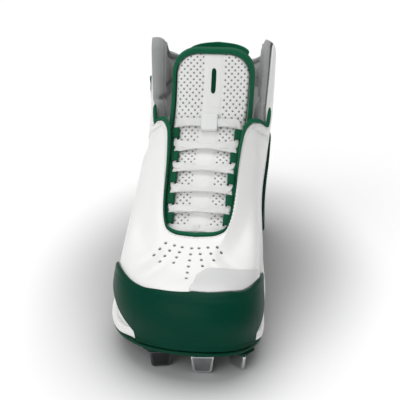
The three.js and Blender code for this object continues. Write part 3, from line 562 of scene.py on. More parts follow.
class Nodes:
    """Shorthand for adding and linking the nodes of one tree."""

    def __init__(self, tree: bpy.types.NodeTree) -> None:
        """Keep the tree that the nodes go into."""
        self.tree = tree

    def add(self, kind: str, inputs: Optional[dict] = None, **settings) -> bpy.types.Node:
        """Add a node.

        Args:
            kind: The node's type without the word ShaderNode.
            inputs: Values or sockets by the input's name or number.
            **settings: Attributes of the node.

        Returns:
            The new node.
        """
        node = self.tree.nodes.new("ShaderNode" + kind)
        for key, value in settings.items():
            setattr(node, key, value)
        for key, value in (inputs or {}).items():
            self.feed(node.inputs[key], value)
        return node

    def feed(self, socket: bpy.types.NodeSocket, value) -> None:
        """Link a socket into another, or set its value."""
        if isinstance(value, bpy.types.NodeSocket):
            self.tree.links.new(value, socket)
        else:
            socket.default_value = value

    def math(self, operation: str, *values) -> bpy.types.NodeSocket:
        """Add a Math node and give its result."""
        node = self.add("Math", dict(enumerate(values)), operation=operation)
        return node.outputs[0]

    def blend(self, share, low, high) -> bpy.types.NodeSocket:
        """Mix two colours by a share and give the result."""
        node = self.add("Mix", {0: share, 6: low, 7: high}, data_type="RGBA")
        return node.outputs[2]

    def range(self, value, low: float, high: float, to_low=0.0, to_high=1.0):
        """Map a value from one range to another, held at its ends."""
        inputs = {"Value": value, "From Min": low, "From Max": high, "To Min": to_low, "To Max": to_high}
        return self.add("MapRange", inputs, clamp=True).outputs[0]


class Effect:
    """A shader node group with named inputs and outputs, built once and used by many finishes."""

    made: dict[str, bpy.types.NodeTree] = {}

    @classmethod
    def group(cls, name: str, inputs: dict[str, float | None], outputs: Sequence[str],
              build: Callable) -> bpy.types.NodeTree:
        """Make a group, or give the one that was made before.

        Args:
            name: The group's name.
            inputs: Defaults by name; None stands for a vector.
            outputs: Names of the float outputs.
            build: Takes the nodes and the input node, and gives a socket for each output.

        Returns:
            The group's tree.
        """
        if name not in cls.made:
            tree = bpy.data.node_groups.new(name, "ShaderNodeTree")
            for key, value in inputs.items():
                kind = "NodeSocketVector" if value is None else "NodeSocketFloat"
                socket = tree.interface.new_socket(key, in_out="INPUT", socket_type=kind)
                if value is not None:
                    socket.default_value = value
            for key in outputs:
                tree.interface.new_socket(key, in_out="OUTPUT", socket_type="NodeSocketFloat")
            start = tree.nodes.new("NodeGroupInput")
            end = tree.nodes.new("NodeGroupOutput")
            nodes = Nodes(tree)
            for key, socket in zip(outputs, build(nodes, start)):
                tree.links.new(socket, end.inputs[key])
            cls.made[name] = tree
        return cls.made[name]

    @classmethod
    def grain(cls) -> bpy.types.NodeTree:
        """Leather grain: small pebbles with fine furrows. Scale is pebbles per metre."""
        def build(n: Nodes, start: bpy.types.Node) -> tuple:
            """Lay the nodes and give their two results."""
            bend = n.add("TexNoise", {"Vector": start.outputs["Vector"], "Scale": 260.0, "Detail": 2.0})
            scaled = n.add("VectorMath", {0: bend.outputs["Color"], 1: (0.0012, 0.0012, 0.0012)},
                           operation="MULTIPLY_ADD")
            n.feed(scaled.inputs[2], start.outputs["Vector"])
            cells = n.add("TexVoronoi", {"Vector": scaled.outputs[0], "Scale": start.outputs["Scale"]},
                          feature="DISTANCE_TO_EDGE")
            pebble = n.range(cells.outputs["Distance"], 0.0, 0.28)
            fine = n.add("TexNoise", {"Vector": start.outputs["Vector"], "Scale": 2400.0, "Detail": 3.0})
            height = n.math("MULTIPLY_ADD", fine.outputs["Fac"], 0.25, pebble)
            return height, pebble
        return cls.group("leather_grain", {"Vector": None, "Scale": 900.0}, ["Height", "Pebble"], build)

    @classmethod
    def weave(cls) -> bpy.types.NodeTree:
        """Plain weave of yarns a pitch apart, on a vector in millimetres."""
        def build(n: Nodes, start: bpy.types.Node) -> tuple:
            """Lay the nodes and give their two results."""
            scaled = n.add("VectorMath", {0: start.outputs["Vector"]}, operation="DIVIDE")
            pitch = n.add("CombineXYZ", {i: start.outputs["Pitch"] for i in range(3)})
            n.feed(scaled.inputs[1], pitch.outputs[0])
            split = n.add("SeparateXYZ", {0: scaled.outputs[0]})
            lean = n.math("MULTIPLY", split.outputs[0], start.outputs["Lean"])
            v = n.math("ADD", split.outputs[1], lean)
            u = split.outputs[0]
            cells = n.math("ADD", n.math("FLOOR", u), n.math("FLOOR", v))
            check = n.math("FLOORED_MODULO", cells, 2.0)
            warp = n.math("ABSOLUTE", n.math("SINE", n.math("MULTIPLY", u, math.pi)))
            weft = n.math("ABSOLUTE", n.math("SINE", n.math("MULTIPLY", v, math.pi)))
            over = n.math("MULTIPLY", warp, check)
            under = n.math("MULTIPLY", weft, n.math("SUBTRACT", 1.0, check))
            height = n.math("ADD", over, under)
            return height, n.range(height, 0.0, 0.6)
        inputs = {"Vector": None, "Pitch": 0.8, "Lean": 0.0}
        return cls.group("woven_yarns", inputs, ["Height", "Yarn"], build)

    @classmethod
    def pores(cls) -> bpy.types.NodeTree:
        """Punched holes in staggered rows a pitch apart, on a vector in millimetres; the first output
        masks the shade painted inside each hole.
        """
        def build(n: Nodes, start: bpy.types.Node) -> tuple:
            """Lay the nodes and give their two results."""
            split = n.add("SeparateXYZ", {0: start.outputs["Vector"]})
            step = n.math("MULTIPLY", start.outputs["Pitch"], 0.5)
            row = n.math("DIVIDE", split.outputs[1], step)
            row_number = n.math("ROUND", row)
            slide = n.math("MULTIPLY", n.math("FLOORED_MODULO", row_number, 2.0), 0.5)
            column = n.math("ADD", n.math("DIVIDE", split.outputs[0], start.outputs["Pitch"]), slide)
            dx = n.math("MULTIPLY", n.math("SUBTRACT", column, n.math("ROUND", column)),
                        start.outputs["Pitch"])
            dy = n.math("MULTIPLY", n.math("SUBTRACT", row, row_number), step)
            square = n.math("ADD", n.math("MULTIPLY", dx, dx), n.math("MULTIPLY", dy, dy))
            distance = n.math("SQRT", square)
            share = n.math("DIVIDE", distance, start.outputs["Radius"])
            return n.range(share, 1.0, 0.7), n.range(share, 1.5, 0.9)
        inputs = {"Vector": None, "Pitch": 5.0, "Radius": 0.8}
        return cls.group("punched_pores", inputs, ["Hole", "Dip"], build)

    @classmethod
    def smudge(cls) -> bpy.types.NodeTree:
        """Soft uneven tone at two scales, and thin scuffs, each from 0 to 1."""
        def build(n: Nodes, start: bpy.types.Node) -> tuple:
            """Lay the nodes and give their two results."""
            vector = start.outputs["Vector"]
            broad = n.add("TexNoise", {"Vector": vector, "Scale": start.outputs["Scale"], "Detail": 4.0})
            stretched = n.add("VectorMath", {0: vector, 1: (60.0, 420.0, 160.0)}, operation="MULTIPLY")
            lines = n.add("TexNoise", {"Vector": stretched.outputs[0], "Scale": 1.0, "Detail": 5.0,
                                       "Roughness": 0.62})
            return n.range(broad.outputs["Fac"], 0.35, 0.65), n.range(lines.outputs["Fac"], 0.6, 0.74)
        return cls.group("smudges", {"Vector": None, "Scale": 18.0}, ["Tone", "Scuff"], build)


Colour = tuple[float, float, float]


def paint(red: int, green: int, blue: int) -> Colour:
    """Turn a screen colour of 0 to 255 into the linear colour that shaders take."""
    def linear(value: int) -> float:
        """One channel in linear light."""
        share = value / 255
        return share / 12.92 if share <= 0.04045 else ((share + 0.055) / 1.055) ** 2.4
    return linear(red), linear(green), linear(blue)


@dataclass(frozen=True)
class Finish:
    """What all finishes share: a name, a colour, a gloss and the depth of their relief."""

    name: str
    colour: Colour
    roughness: float = 0.5
    relief: float = 0.0001

    made = {}

    def material(self) -> bpy.types.Material:
        """Give the finish's material, made the first time it is asked for."""
        if self.name not in Finish.made:
            material = bpy.data.materials.new(self.name)
            material.use_nodes = True
            material.diffuse_color = (*self.colour, 1.0)
            tree = material.node_tree
            nodes = Nodes(tree)
            shader = next(n for n in tree.nodes if n.type == "BSDF_PRINCIPLED")
            shader.inputs["Base Color"].default_value = (*self.colour, 1.0)
            shader.inputs["Roughness"].default_value = self.roughness
            place = nodes.add("TexCoord").outputs["Object"]
            self.dress(nodes, shader, place)
            Finish.made[self.name] = material
        return Finish.made[self.name]

    def dress(self, n: Nodes, shader: bpy.types.Node, place: bpy.types.NodeSocket) -> None:
        """Add the finish's own nodes; the plain finish has an uneven tone alone."""
        self.tone(n, shader, place, 0.05)

    def tone(self, n: Nodes, shader: bpy.types.Node, place, depth: float, scale: float = 18.0,
             masks: Sequence[tuple] = ()) -> bpy.types.Node:
        """Feed the base colour and the roughness.

        Args:
            n: The material's nodes.
            shader: The Principled BSDF.
            place: The vector that the noise takes.
            depth: How much darker the deepest tone is.
            scale: Size of the broad tone, per metre.
            masks: Pairs of a mask and the colour that it brings in.

        Returns:
            The smudge group's node.
        """
        smudge = n.add("Group", node_tree=Effect.smudge())
        n.feed(smudge.inputs["Vector"], place)
        n.feed(smudge.inputs["Scale"], scale)
        dark = tuple(value * (1 - depth) for value in self.colour)
        colour = n.blend(smudge.outputs["Tone"], (*dark, 1.0), (*self.colour, 1.0))
        for mask, other in masks:
            colour = n.blend(mask, colour, (*other, 1.0))
        n.feed(shader.inputs["Base Color"], colour)
        scuffed = min(1.0, self.roughness + 0.08)
        n.feed(shader.inputs["Roughness"],
               n.range(smudge.outputs["Scuff"], 0.0, 1.0, self.roughness, scuffed))
        return smudge

    def bump(self, n: Nodes, shader: bpy.types.Node, height, strength: float = 1.0) -> None:
        """Feed a height of 0 to 1 to the shader's normal, over the finish's relief in metres."""
        node = n.add("Bump", {"Strength": strength, "Distance": self.relief, "Height": height})
        n.feed(shader.inputs["Normal"], node.outputs[0])


def mark(n: Nodes, name: str) -> bpy.types.Node:
    """Add the node that reads a mesh's mark."""
    return n.add("Attribute", attribute_name=name, attribute_type="GEOMETRY")


@dataclass(frozen=True)
class Leather(Finish):
    """Coated leather: fine grain, soft gloss, and painted shade in its punched holes."""

    pebbles: float = 1100.0
    coat: float = 0.25
    # Colour painted inside the punched holes as their shade.
    painted_hole_shade: Colour = (0.03, 0.03, 0.03)
    pore_pitch: float = 0.0

    def dress(self, n: Nodes, shader: bpy.types.Node, place) -> None:
        """Add grain, tone, painted shade in the holes and a thin coat."""
        grain = n.add("Group", node_tree=Effect.grain())
        n.feed(grain.inputs["Vector"], place)
        n.feed(grain.inputs["Scale"], self.pebbles)
        painted_hole_shade = mark(n, "painted_hole_shade").outputs["Fac"]
        height = grain.outputs["Height"]
        if self.pore_pitch:
            pores = n.add("Group", node_tree=Effect.pores())
            n.feed(pores.inputs["Vector"], mark(n, "flat").outputs["Vector"])
            n.feed(pores.inputs["Pitch"], self.pore_pitch)
            zone = mark(n, "pores").outputs["Fac"]
            painted_hole_shade = n.math("MULTIPLY", pores.outputs["Hole"], zone)
            dip = n.math("MULTIPLY", n.math("MULTIPLY", pores.outputs["Dip"], zone), -6.0)
            height = n.math("ADD", height, dip)
        # The holes and pores get painted shade.
        self.tone(n, shader, place, 0.03, masks=[(painted_hole_shade, self.painted_hole_shade)])
        shader.inputs["Coat Weight"].default_value = self.coat
        shader.inputs["Coat Roughness"].default_value = 0.25
        self.bump(n, shader, height, 0.6)


@dataclass(frozen=True)
class Moulded(Finish):
    """Moulded rubber or plastic: satin, with a faint sheet of flow marks."""

    coat: float = 0.0
    shine: float = 0.07
    worn: Colour = (0.004, 0.07, 0.042)

    def dress(self, n: Nodes, shader: bpy.types.Node, place) -> None:
        """Add tone, scuffs and a fine eggshell relief."""
        smudge = self.tone(n, shader, place, 0.12, scale=24.0)
        link = shader.inputs["Base Color"].links[0].from_socket
        share = n.math("MULTIPLY", smudge.outputs["Scuff"], 0.3)
        n.feed(shader.inputs["Base Color"], n.blend(share, link, (*self.worn, 1.0)))
        fine = n.add("TexNoise", {"Vector": place, "Scale": 1500.0, "Detail": 2.0})
        shader.inputs["Coat Weight"].default_value = self.coat
        shader.inputs["Coat Roughness"].default_value = 0.2
        shader.inputs["Specular IOR Level"].default_value = self.shine
        self.bump(n, shader, fine.outputs["Fac"], 0.35)


@dataclass(frozen=True)
class Woven(Finish):
    """Woven yarns, on the millimetres that the mesh's flat mark gives."""

    pitch: float = 0.8
    lean: float = 0.0
    sheen: float = 0.2
    shine: float = 0.2
    # Share by which the colour is darkened between the yarns, as painted shade.
    painted_furrow_shade: float = 0.45

    def dress(self, n: Nodes, shader: bpy.types.Node, place) -> None:
        """Add the weave, with painted shade between its yarns."""
        weave = n.add("Group", node_tree=Effect.weave())
        n.feed(weave.inputs["Vector"], mark(n, "flat").outputs["Vector"])
        n.feed(weave.inputs["Pitch"], self.pitch)
        n.feed(weave.inputs["Lean"], self.lean)
        # The colour between the yarns is painted shade.
        low = tuple(value * (1 - self.painted_furrow_shade) for value in self.colour)
        painted_furrow_shade = n.math("SUBTRACT", 1.0, weave.outputs["Yarn"])
        self.tone(n, shader, place, 0.08, scale=40.0, masks=[(painted_furrow_shade, low)])
        shader.inputs["Sheen Weight"].default_value = self.sheen
        shader.inputs["Specular IOR Level"].default_value = self.shine
        shader.inputs["Sheen Roughness"].default_value = 0.4
        self.bump(n, shader, weave.outputs["Height"])


@dataclass(frozen=True)
class Foam(Finish):
    """Moulded foam with a fine skin."""

    def dress(self, n: Nodes, shader: bpy.types.Node, place) -> None:
        """Add tone and the pits of the skin."""
        self.tone(n, shader, place, 0.04, scale=30.0)
        cells = n.add("TexVoronoi", {"Vector": place, "Scale": 900.0})
        self.bump(n, shader, cells.outputs["Distance"], 0.4)


@dataclass(frozen=True)
class Steel(Finish):
    """Stamped steel with drawn lines along its height and a rim that is worn bright."""

    rim: Colour = (0.75, 0.76, 0.77)

    def dress(self, n: Nodes, shader: bpy.types.Node, place) -> None:
        """Make the shader a metal and add the drawn lines."""
        shader.inputs["Metallic"].default_value = 1.0
        self.tone(n, shader, place, 0.2, scale=90.0, masks=[(mark(n, "worn").outputs["Fac"], self.rim)])
        stretched = n.add("VectorMath", {0: place, 1: (2600.0, 2600.0, 120.0)}, operation="MULTIPLY")
        lines = n.add("TexNoise", {"Vector": stretched.outputs[0], "Scale": 1.0, "Detail": 3.0})
        self.bump(n, shader, lines.outputs["Fac"], 0.5)


# The hole colours here are painted shade inside the punched holes.
WHITE_LEATHER = Leather("white_leather", paint(232, 232, 231), 0.4, 0.00006)
TONGUE_LEATHER = Leather("tongue_leather", paint(234, 234, 233), 0.5, 0.00008, pore_pitch=4.6,
                         painted_hole_shade=paint(118, 118, 118))
PALE_LEATHER = Leather("pale_grey_leather", paint(206, 207, 206), 0.32, 0.00004, coat=0.3)
GREEN_RUBBER = Moulded("green_rubber", paint(0, 58, 43), 0.4, 0.00005)
GREEN_PLASTIC = Moulded("green_plastic", paint(0, 60, 42), 0.36, 0.00005, coat=0.05)
GREEN_KNIT = Woven("green_knit", paint(0, 96, 64), 0.7, 0.00012, pitch=0.9, lean=0.5, sheen=0.03)
GREEN_WEBBING = Woven("green_webbing", paint(0, 88, 58), 0.75, 0.0002, pitch=1.1, sheen=0.03)
GREY_SATIN = Woven("grey_satin", paint(160, 161, 161), 0.45, 0.00006, pitch=0.6, sheen=0.5, painted_furrow_shade=0.15)
GREY_TEXTILE = Woven("grey_textile", paint(150, 151, 151), 0.8, 0.0001, pitch=0.9, painted_furrow_shade=0.25)
WHITE_LACE = Woven("white_lace", paint(246, 246, 245), 0.8, 0.00016, pitch=0.7, lean=1.0, painted_furrow_shade=0.12)
# A lighter copy of the green webbing: painted light that lifts the heel tab out of its shade.
GREEN_PULL_PAINTED_LIGHT = Woven("green_pull_painted_light", paint(0, 112, 76), 0.7, 0.0002, pitch=1.1, sheen=0.05)
WHITE_STRAP = Leather("white_strap", paint(225, 226, 226), 0.42, 0.00005)
WHITE_FOAM = Foam("white_foam", paint(242, 242, 241), 0.5, 0.00008)
WHITE_THREAD = Woven("white_thread", paint(244, 244, 242), 0.6, 0.0001, pitch=0.35, lean=1.0, painted_furrow_shade=0.1)
GREEN_THREAD = Woven("green_thread", paint(8, 88, 60), 0.6, 0.0001, pitch=0.35, lean=1.0)
# A darker copy of the same steel: painted shade for the toe's lateral spike.
STEEL_IN_PAINTED_SHADE = Steel("steel_in_painted_shade", paint(74, 77, 78), 0.36, 0.00004, rim=paint(98, 101, 102))
POLISHED_STEEL = Steel("polished_steel", paint(158, 161, 163), 0.12, 0.00002, rim=paint(225, 226, 227))
BRIGHT_STEEL = Steel("bright_steel", paint(205, 207, 208), 0.25, 0.00003, rim=paint(225, 226, 227))


def make_piece(name: str, shape: Shape, finish: Finish, slot: str,
               replaces: Sequence[str] = ()) -> bpy.types.Object:
    """Make a piece of the shoe from a shape.

    Args:
        name: The piece's name.
        shape: Its mesh, in millimetres of the shoe's own frame.
        finish: What it is dressed in.
        slot: The record's material slot; not used.
        replaces: CAD nodes that it stands for.

    Returns:
        The object, riding on the shoe.
    """
    mesh = bpy.data.meshes.new(name)
    mesh.from_pydata(((shape.points + SHIFT) * MM).tolist(), [], shape.faces)
    for key, values in shape.marks.items():
        kind = "FLOAT_VECTOR" if values.ndim == 2 else "FLOAT"
        attribute = mesh.attributes.new(key, kind, "POINT")
        data = "vector" if values.ndim == 2 else "value"
        attribute.data.foreach_set(data, values.astype(np.float32).ravel())
    mesh.polygons.foreach_set("use_smooth", [True] * len(mesh.polygons))
    mesh.update()
    piece = bpy.data.objects.new(name, mesh)
    bpy.context.scene.collection.objects.link(piece)
    mesh.materials.append(finish.material())
    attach(piece, "root")
    if replaces:
        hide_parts(*replaces)
    LOG.info("%s: %d points, %d faces", name, len(mesh.vertices), len(mesh.polygons))
    return piece


def path_points(places: Sequence[tuple[float, float]], count: int = 60) -> tuple[Points, Points]:
    """Turn given (place, level) pairs into many places and levels on one smooth line."""
    flat = np.array([(p, level, 0.0) for p, level in places])
    if len(flat) == 2:
        line = mix(flat[0], flat[1], np.linspace(0, 1, count)[:, None])
    else:
        line = Route(flat).at(np.linspace(0, 1, count))
    return line[:, 0], line[:, 1]


def even_stations(points: Points, pitch: float) -> Points:
    """Shares of a line's length, evenly a pitch apart, as indices between its points."""
    way = way_along(points)
    count = max(2, int(way[-1] / pitch) + 1)
    return np.interp(np.linspace(0, way[-1], count), way, np.arange(len(points)))


def pick(points: Points, index: Points) -> Points:
    """Read points at fractional indices."""
    base = np.arange(len(points))
    return np.stack([np.interp(index, base, points[:, i]) for i in range(3)], axis=-1)


@dataclass(frozen=True)
class StitchRow:
    """A row of stitches along a line: each is a small rounded bar of thread."""

    length: float = 2.3
    pitch: float = 3.1
    thick: float = 0.55

    def shape(self, line: Points, normals: Points) -> Shape:
        """Lay the row.

        Args:
            line: Points along the seam, on the face that the thread lies on.
            normals: That face's directions at the points.

        Returns:
            The stitches as one shape.
        """
        stations = even_stations(line, self.pitch)[:-1]
        middle, out = pick(line, stations + 0.01), unit(pick(normals, stations))
        ahead = pick(line, np.minimum(stations + 0.3, len(line) - 1))
        along = unit(ahead - pick(line, np.maximum(stations - 0.3, 0)))
        side = unit(np.cross(along, out))
        turns = full_turn(6)
        bars = []
        for i in range(len(stations)):
            rings = []
            for place, wide in ((-0.5, 0.25), (-0.36, 0.85), (0.0, 1.0), (0.36, 0.85), (0.5, 0.25)):
                centre = middle[i] + along[i] * place * self.length + out[i] * 0.12 * wide
                round_ = np.cos(turns)[:, None] * side[i] + 0.7 * np.sin(turns)[:, None] * out[i]
                rings.append(centre + round_ * wide * self.thick / 2)
            bars.append(loft(np.array(rings), cap=Cap.DISC))
        return join(bars)

    def on_face(self, places: Sequence[tuple[float, float]], height: float, count: int = 200) -> Shape:
        """Lay the row along (place, level) pairs on the shoe's face, a height above it."""
        p, level = path_points(places, count)
        return self.shape(FACE.offset(p, level, np.full(len(p), height)), FACE.normal(p, level))


@dataclass(frozen=True)
class Fold:
    """A soft trough in the face along a given line; a negative depth is a ridge."""

    places: tuple[tuple[float, float], ...]
    depth: float
    width: float

    def relief(self, points: Points) -> Points:
        """Give how far points of the face sink, in millimetres, with both ends fading out."""
        p, level = path_points(self.places, 40)
        line = FACE.point(p, level)
        fade = np.sin(np.pi * np.linspace(0.04, 0.96, len(line))) ** 0.5
        sink = np.zeros(len(points))
        for spot, share in zip(line, fade):
            distance = np.linalg.norm(points - spot, axis=-1)
            sink = np.maximum(sink, share * bell(distance, self.width))
        return sink * self.depth


def both_sides(places: tuple, medial: float, lateral: float, width: float) -> tuple[Fold, Fold]:
    """A fold on the medial side and its mirror image, each with its own depth."""
    mirrored = tuple((2 - p, level) for p, level in places)
    return Fold(places, medial, width), Fold(mirrored, lateral, width)


@dataclass
class Upper:
    """The hollow white leather upper, with its folds, seams, holes and thread."""

    columns: int = 288
    rows: int = 92
    inner_rows: int = 30
    hole_radius: float = 1.05
    hole_depth: float = 1.6
    folds: tuple[Fold, ...] = (
        *both_sides(((0.085, 0.93), (0.12, 0.8), (0.16, 0.66)), 0.4, 0.5, 3.4),
        *both_sides(((0.13, 0.93), (0.18, 0.78), (0.22, 0.64)), 0.4, 0.5, 3.6),
        *both_sides(((0.105, 0.9), (0.145, 0.76), (0.185, 0.64)), -0.35, -0.35, 3.0),
        *both_sides(((0.43, 0.9), (0.47, 0.8), (0.53, 0.74)), 0.8, 0.8, 5.0),
        *both_sides(((0.5, 0.86), (0.56, 0.84), (0.62, 0.86)), 0.7, 0.7, 4.5),
        *both_sides(((0.78, 0.84), (0.88, 0.8), (0.96, 0.79)), 0.9, 0.9, 5.5),
        *both_sides(((0.24, 0.8), (0.3, 0.7), (0.38, 0.66)), -0.5, -0.5, 7.0),
    )
    seams: tuple[Fold, ...] = both_sides(
        ((0.456, 0.97), (0.48, 0.91), (0.506, 0.86), (0.519, 0.76)), 0.5, 0.5, 0.9)

    def levels(self) -> Points:
        """Rows up the outer face, closer together where the edge rounds over."""
        return np.concatenate([np.linspace(SEAM_LEVEL, 0.985, self.rows), [0.989, 0.993, 0.9965, 0.999]])

    def shape(self) -> Shape:
        """Build the shell: outer face, rounded edge and inner face."""
        p = np.arange(self.columns) * 2 / self.columns
        levels = self.levels()
        grid_p, grid_level = np.meshgrid(p, levels, indexing="ij")
        dropped = (1 - FACE.below_edge(p, EAR_DROP * ear_share(p)))[:, None]
        rounding = 1.1 * (1 - quarter(1.0 - grid_level, 0.012))
        grid_level = grid_level - dropped * smooth(grid_level, 0.8, 1.0)
        base = FACE.point(grid_p, grid_level).reshape(-1, 3)
        sink = sum(fold.relief(base) for fold in (*self.folds, *self.seams))
        depth = sink.reshape(grid_p.shape) * smooth(grid_level, SEAM_LEVEL, 0.3) + rounding
        depth = depth + tuck(grid_p, grid_level)
        outer = FACE.offset(grid_p, grid_level, -depth)
        inner_levels = np.linspace(0.995, SEAM_LEVEL, self.inner_rows)
        in_p, in_level = np.meshgrid(p, inner_levels, indexing="ij")
        under = 0.8 * (1 - quarter(1.0 - in_level, 0.012))
        in_level = in_level - dropped * smooth(in_level, 0.8, 1.0)
        inner = FACE.offset(in_p, in_level, under - S.wall - tuck(in_p, in_level))
        outer[:, 0, 2] += S.gap
        inner[:, -1, 2] = outer[:, 0, 2]
        rings = np.concatenate([outer, inner], axis=1)
        shape = loft(rings, looped=True)
        shape.blank("painted_hole_shade")
        return shape

    def hole_places(self) -> Points:
        """Places of the punched holes on the toe, in seven rays that fan out from the throat."""
        rays = (
            ((-15.6, -84.6), (-22.5, -93.1), 3),
            ((-9.3, -87.1), (-17.4, -101.4), 4),
            ((-3.9, -88.8), (-7.8, -103.9), 4),
            ((2.6, -89.6), (2.4, -119.9), 6),
            ((7.5, -89.2), (11.6, -106.1), 4),
            ((13.4, -87.9), (18.4, -98.6), 3),
            ((19.6, -86.5), (22.6, -89.4), 2),
        )
        spots = []
        for start, end, count in rays:
            for share in np.linspace(0, 1, count):
                spots.append(mix(np.array(start), np.array(end), share))
        return np.array(spots)

    def pierce(self, piece: bpy.types.Object) -> None:
        """Sink the punched holes into the toe, in a mesh made finer round each of them."""
        spots = (self.hole_places() + SHIFT[:2]) * MM
        radius, reach = self.hole_radius * MM, 2.6 * MM
        mesh = bmesh.new()
        mesh.from_mesh(piece.data)
        painted_hole_shade = mesh.verts.layers.float["painted_hole_shade"]
        flats = [Vector((x, y)) for x, y in spots]

        def nearest(point: Vector) -> float:
            """Distance in plan from a point to the nearest hole."""
            return min((point.xy - spot).length for spot in flats)

        close = [face for face in mesh.faces if nearest(face.calc_center_median()) < reach]
        top = max(face.calc_center_median().z for face in close)
        floor = top - 45 * MM
        faces = [face for face in close if face.normal.z > 0.2 and face.calc_center_median().z > floor]
        edges = list({edge for face in faces for edge in face.edges})
        bmesh.ops.subdivide_edges(mesh, edges=edges, cuts=4, use_grid_fill=True)
        mesh.normal_update()
        moves = []
        for vert in mesh.verts:
            if vert.normal.z > 0.2 and vert.co.z > floor:
                distance = nearest(vert.co)
                if distance < 1.25 * radius:
                    share = float(1 - smooth(distance, 0.55 * radius, 1.15 * radius))
                    moves.append((vert, vert.normal.copy(), share))
        for vert, normal, share in moves:
            vert.co -= normal * share * self.hole_depth * MM
            # The same share sets how much painted shade the hole gets.
            vert[painted_hole_shade] = share
        mesh.to_mesh(piece.data)
        mesh.free()
        piece.data.polygons.foreach_set("use_smooth", [True] * len(piece.data.polygons))
        LOG.info("upper_shell pierced: %d faces", len(piece.data.polygons))

    def build(self) -> None:
        """Make the shell, its holes and its rows of thread."""
        shell = make_piece("upper_shell", self.shape(), WHITE_LEATHER, "upper", ["upper"])
        self.pierce(shell)
        row = StitchRow()
        p = np.linspace(-0.54, 0.54, 420)
        level = FACE.below_edge(p, 2.4)
        lines = [row.shape(FACE.offset(p, level, np.full(len(p), 0.02)), FACE.normal(p, level))]
        for seam in self.seams:
            shifted = tuple((p + 0.006 * np.sign(1 - p), level) for p, level in seam.places)
            lines.append(row.on_face(shifted, 0.02))
        make_piece("upper_thread", join(lines), WHITE_THREAD, "upper")


@dataclass
class Panel:
    """A panel on the shoe's face with rounded borders."""

    name: str
    node: str
    slot: str
    finish: Finish
    places: Points
    low: Callable
    high: Callable
    thick: float
    rows: int = 28
    round_over: float = 1.6
    fade: float = 0.0
    relief: Optional[Callable] = None

    def build(self) -> bpy.types.Object:
        """Make the panel.

        Returns:
            The piece that stands for the CAD node.
        """
        p = self.places / SIDE_COLUMNS
        share = (1 - np.cos(np.pi * np.linspace(0, 1, self.rows))) / 2
        low, high = self.low(p), self.high(p)
        level = mix(low[:, None], high[:, None], share[None, :])
        place = np.broadcast_to(p[:, None], level.shape)
        base = FACE.point(place, level)
        steps = np.linalg.norm(np.diff(base, axis=1), axis=-1)
        way = np.concatenate([np.zeros((len(p), 1)), np.cumsum(steps, axis=1)], axis=1)
        from_border = np.minimum(way, way[:, -1:] - way)
        run = way_along(base[:, self.rows // 2])
        from_end = np.minimum(run, run[-1] - run)[:, None]
        full = quarter(from_border + 0.15, self.round_over) * quarter(from_end + 0.3, self.round_over)
        thick = self.thick * (0.25 + 0.75 * quarter(from_end, self.fade)) if self.fade else self.thick
        outer_height = S.lift + thick * np.maximum(full, 0.2)
        if self.relief is not None:
            outer_height = outer_height + self.relief(place, level) * smooth(full, 0.5, 1.0)
        outer = FACE.offset(place, level, np.maximum(outer_height, S.lift + 0.15))
        inner = FACE.offset(place, level, np.full(level.shape, S.lift))[:, ::-1]
        shape = loft(np.concatenate([outer, inner], axis=1))
        shape.blank("painted_hole_shade")
        return make_piece(self.name, shape, self.finish, self.slot, [self.node])


def fine_places(low: float, high: float, parts: int) -> Points:
    """Places from one column to another, so many to a column, closer together at both ends."""
    inner = np.linspace(low, high, int(round((high - low) * parts)) + 1)
    near = np.array([0.012, 0.03, 0.06, 0.1])
    return np.unique(np.concatenate([inner, low + near, high - near]))


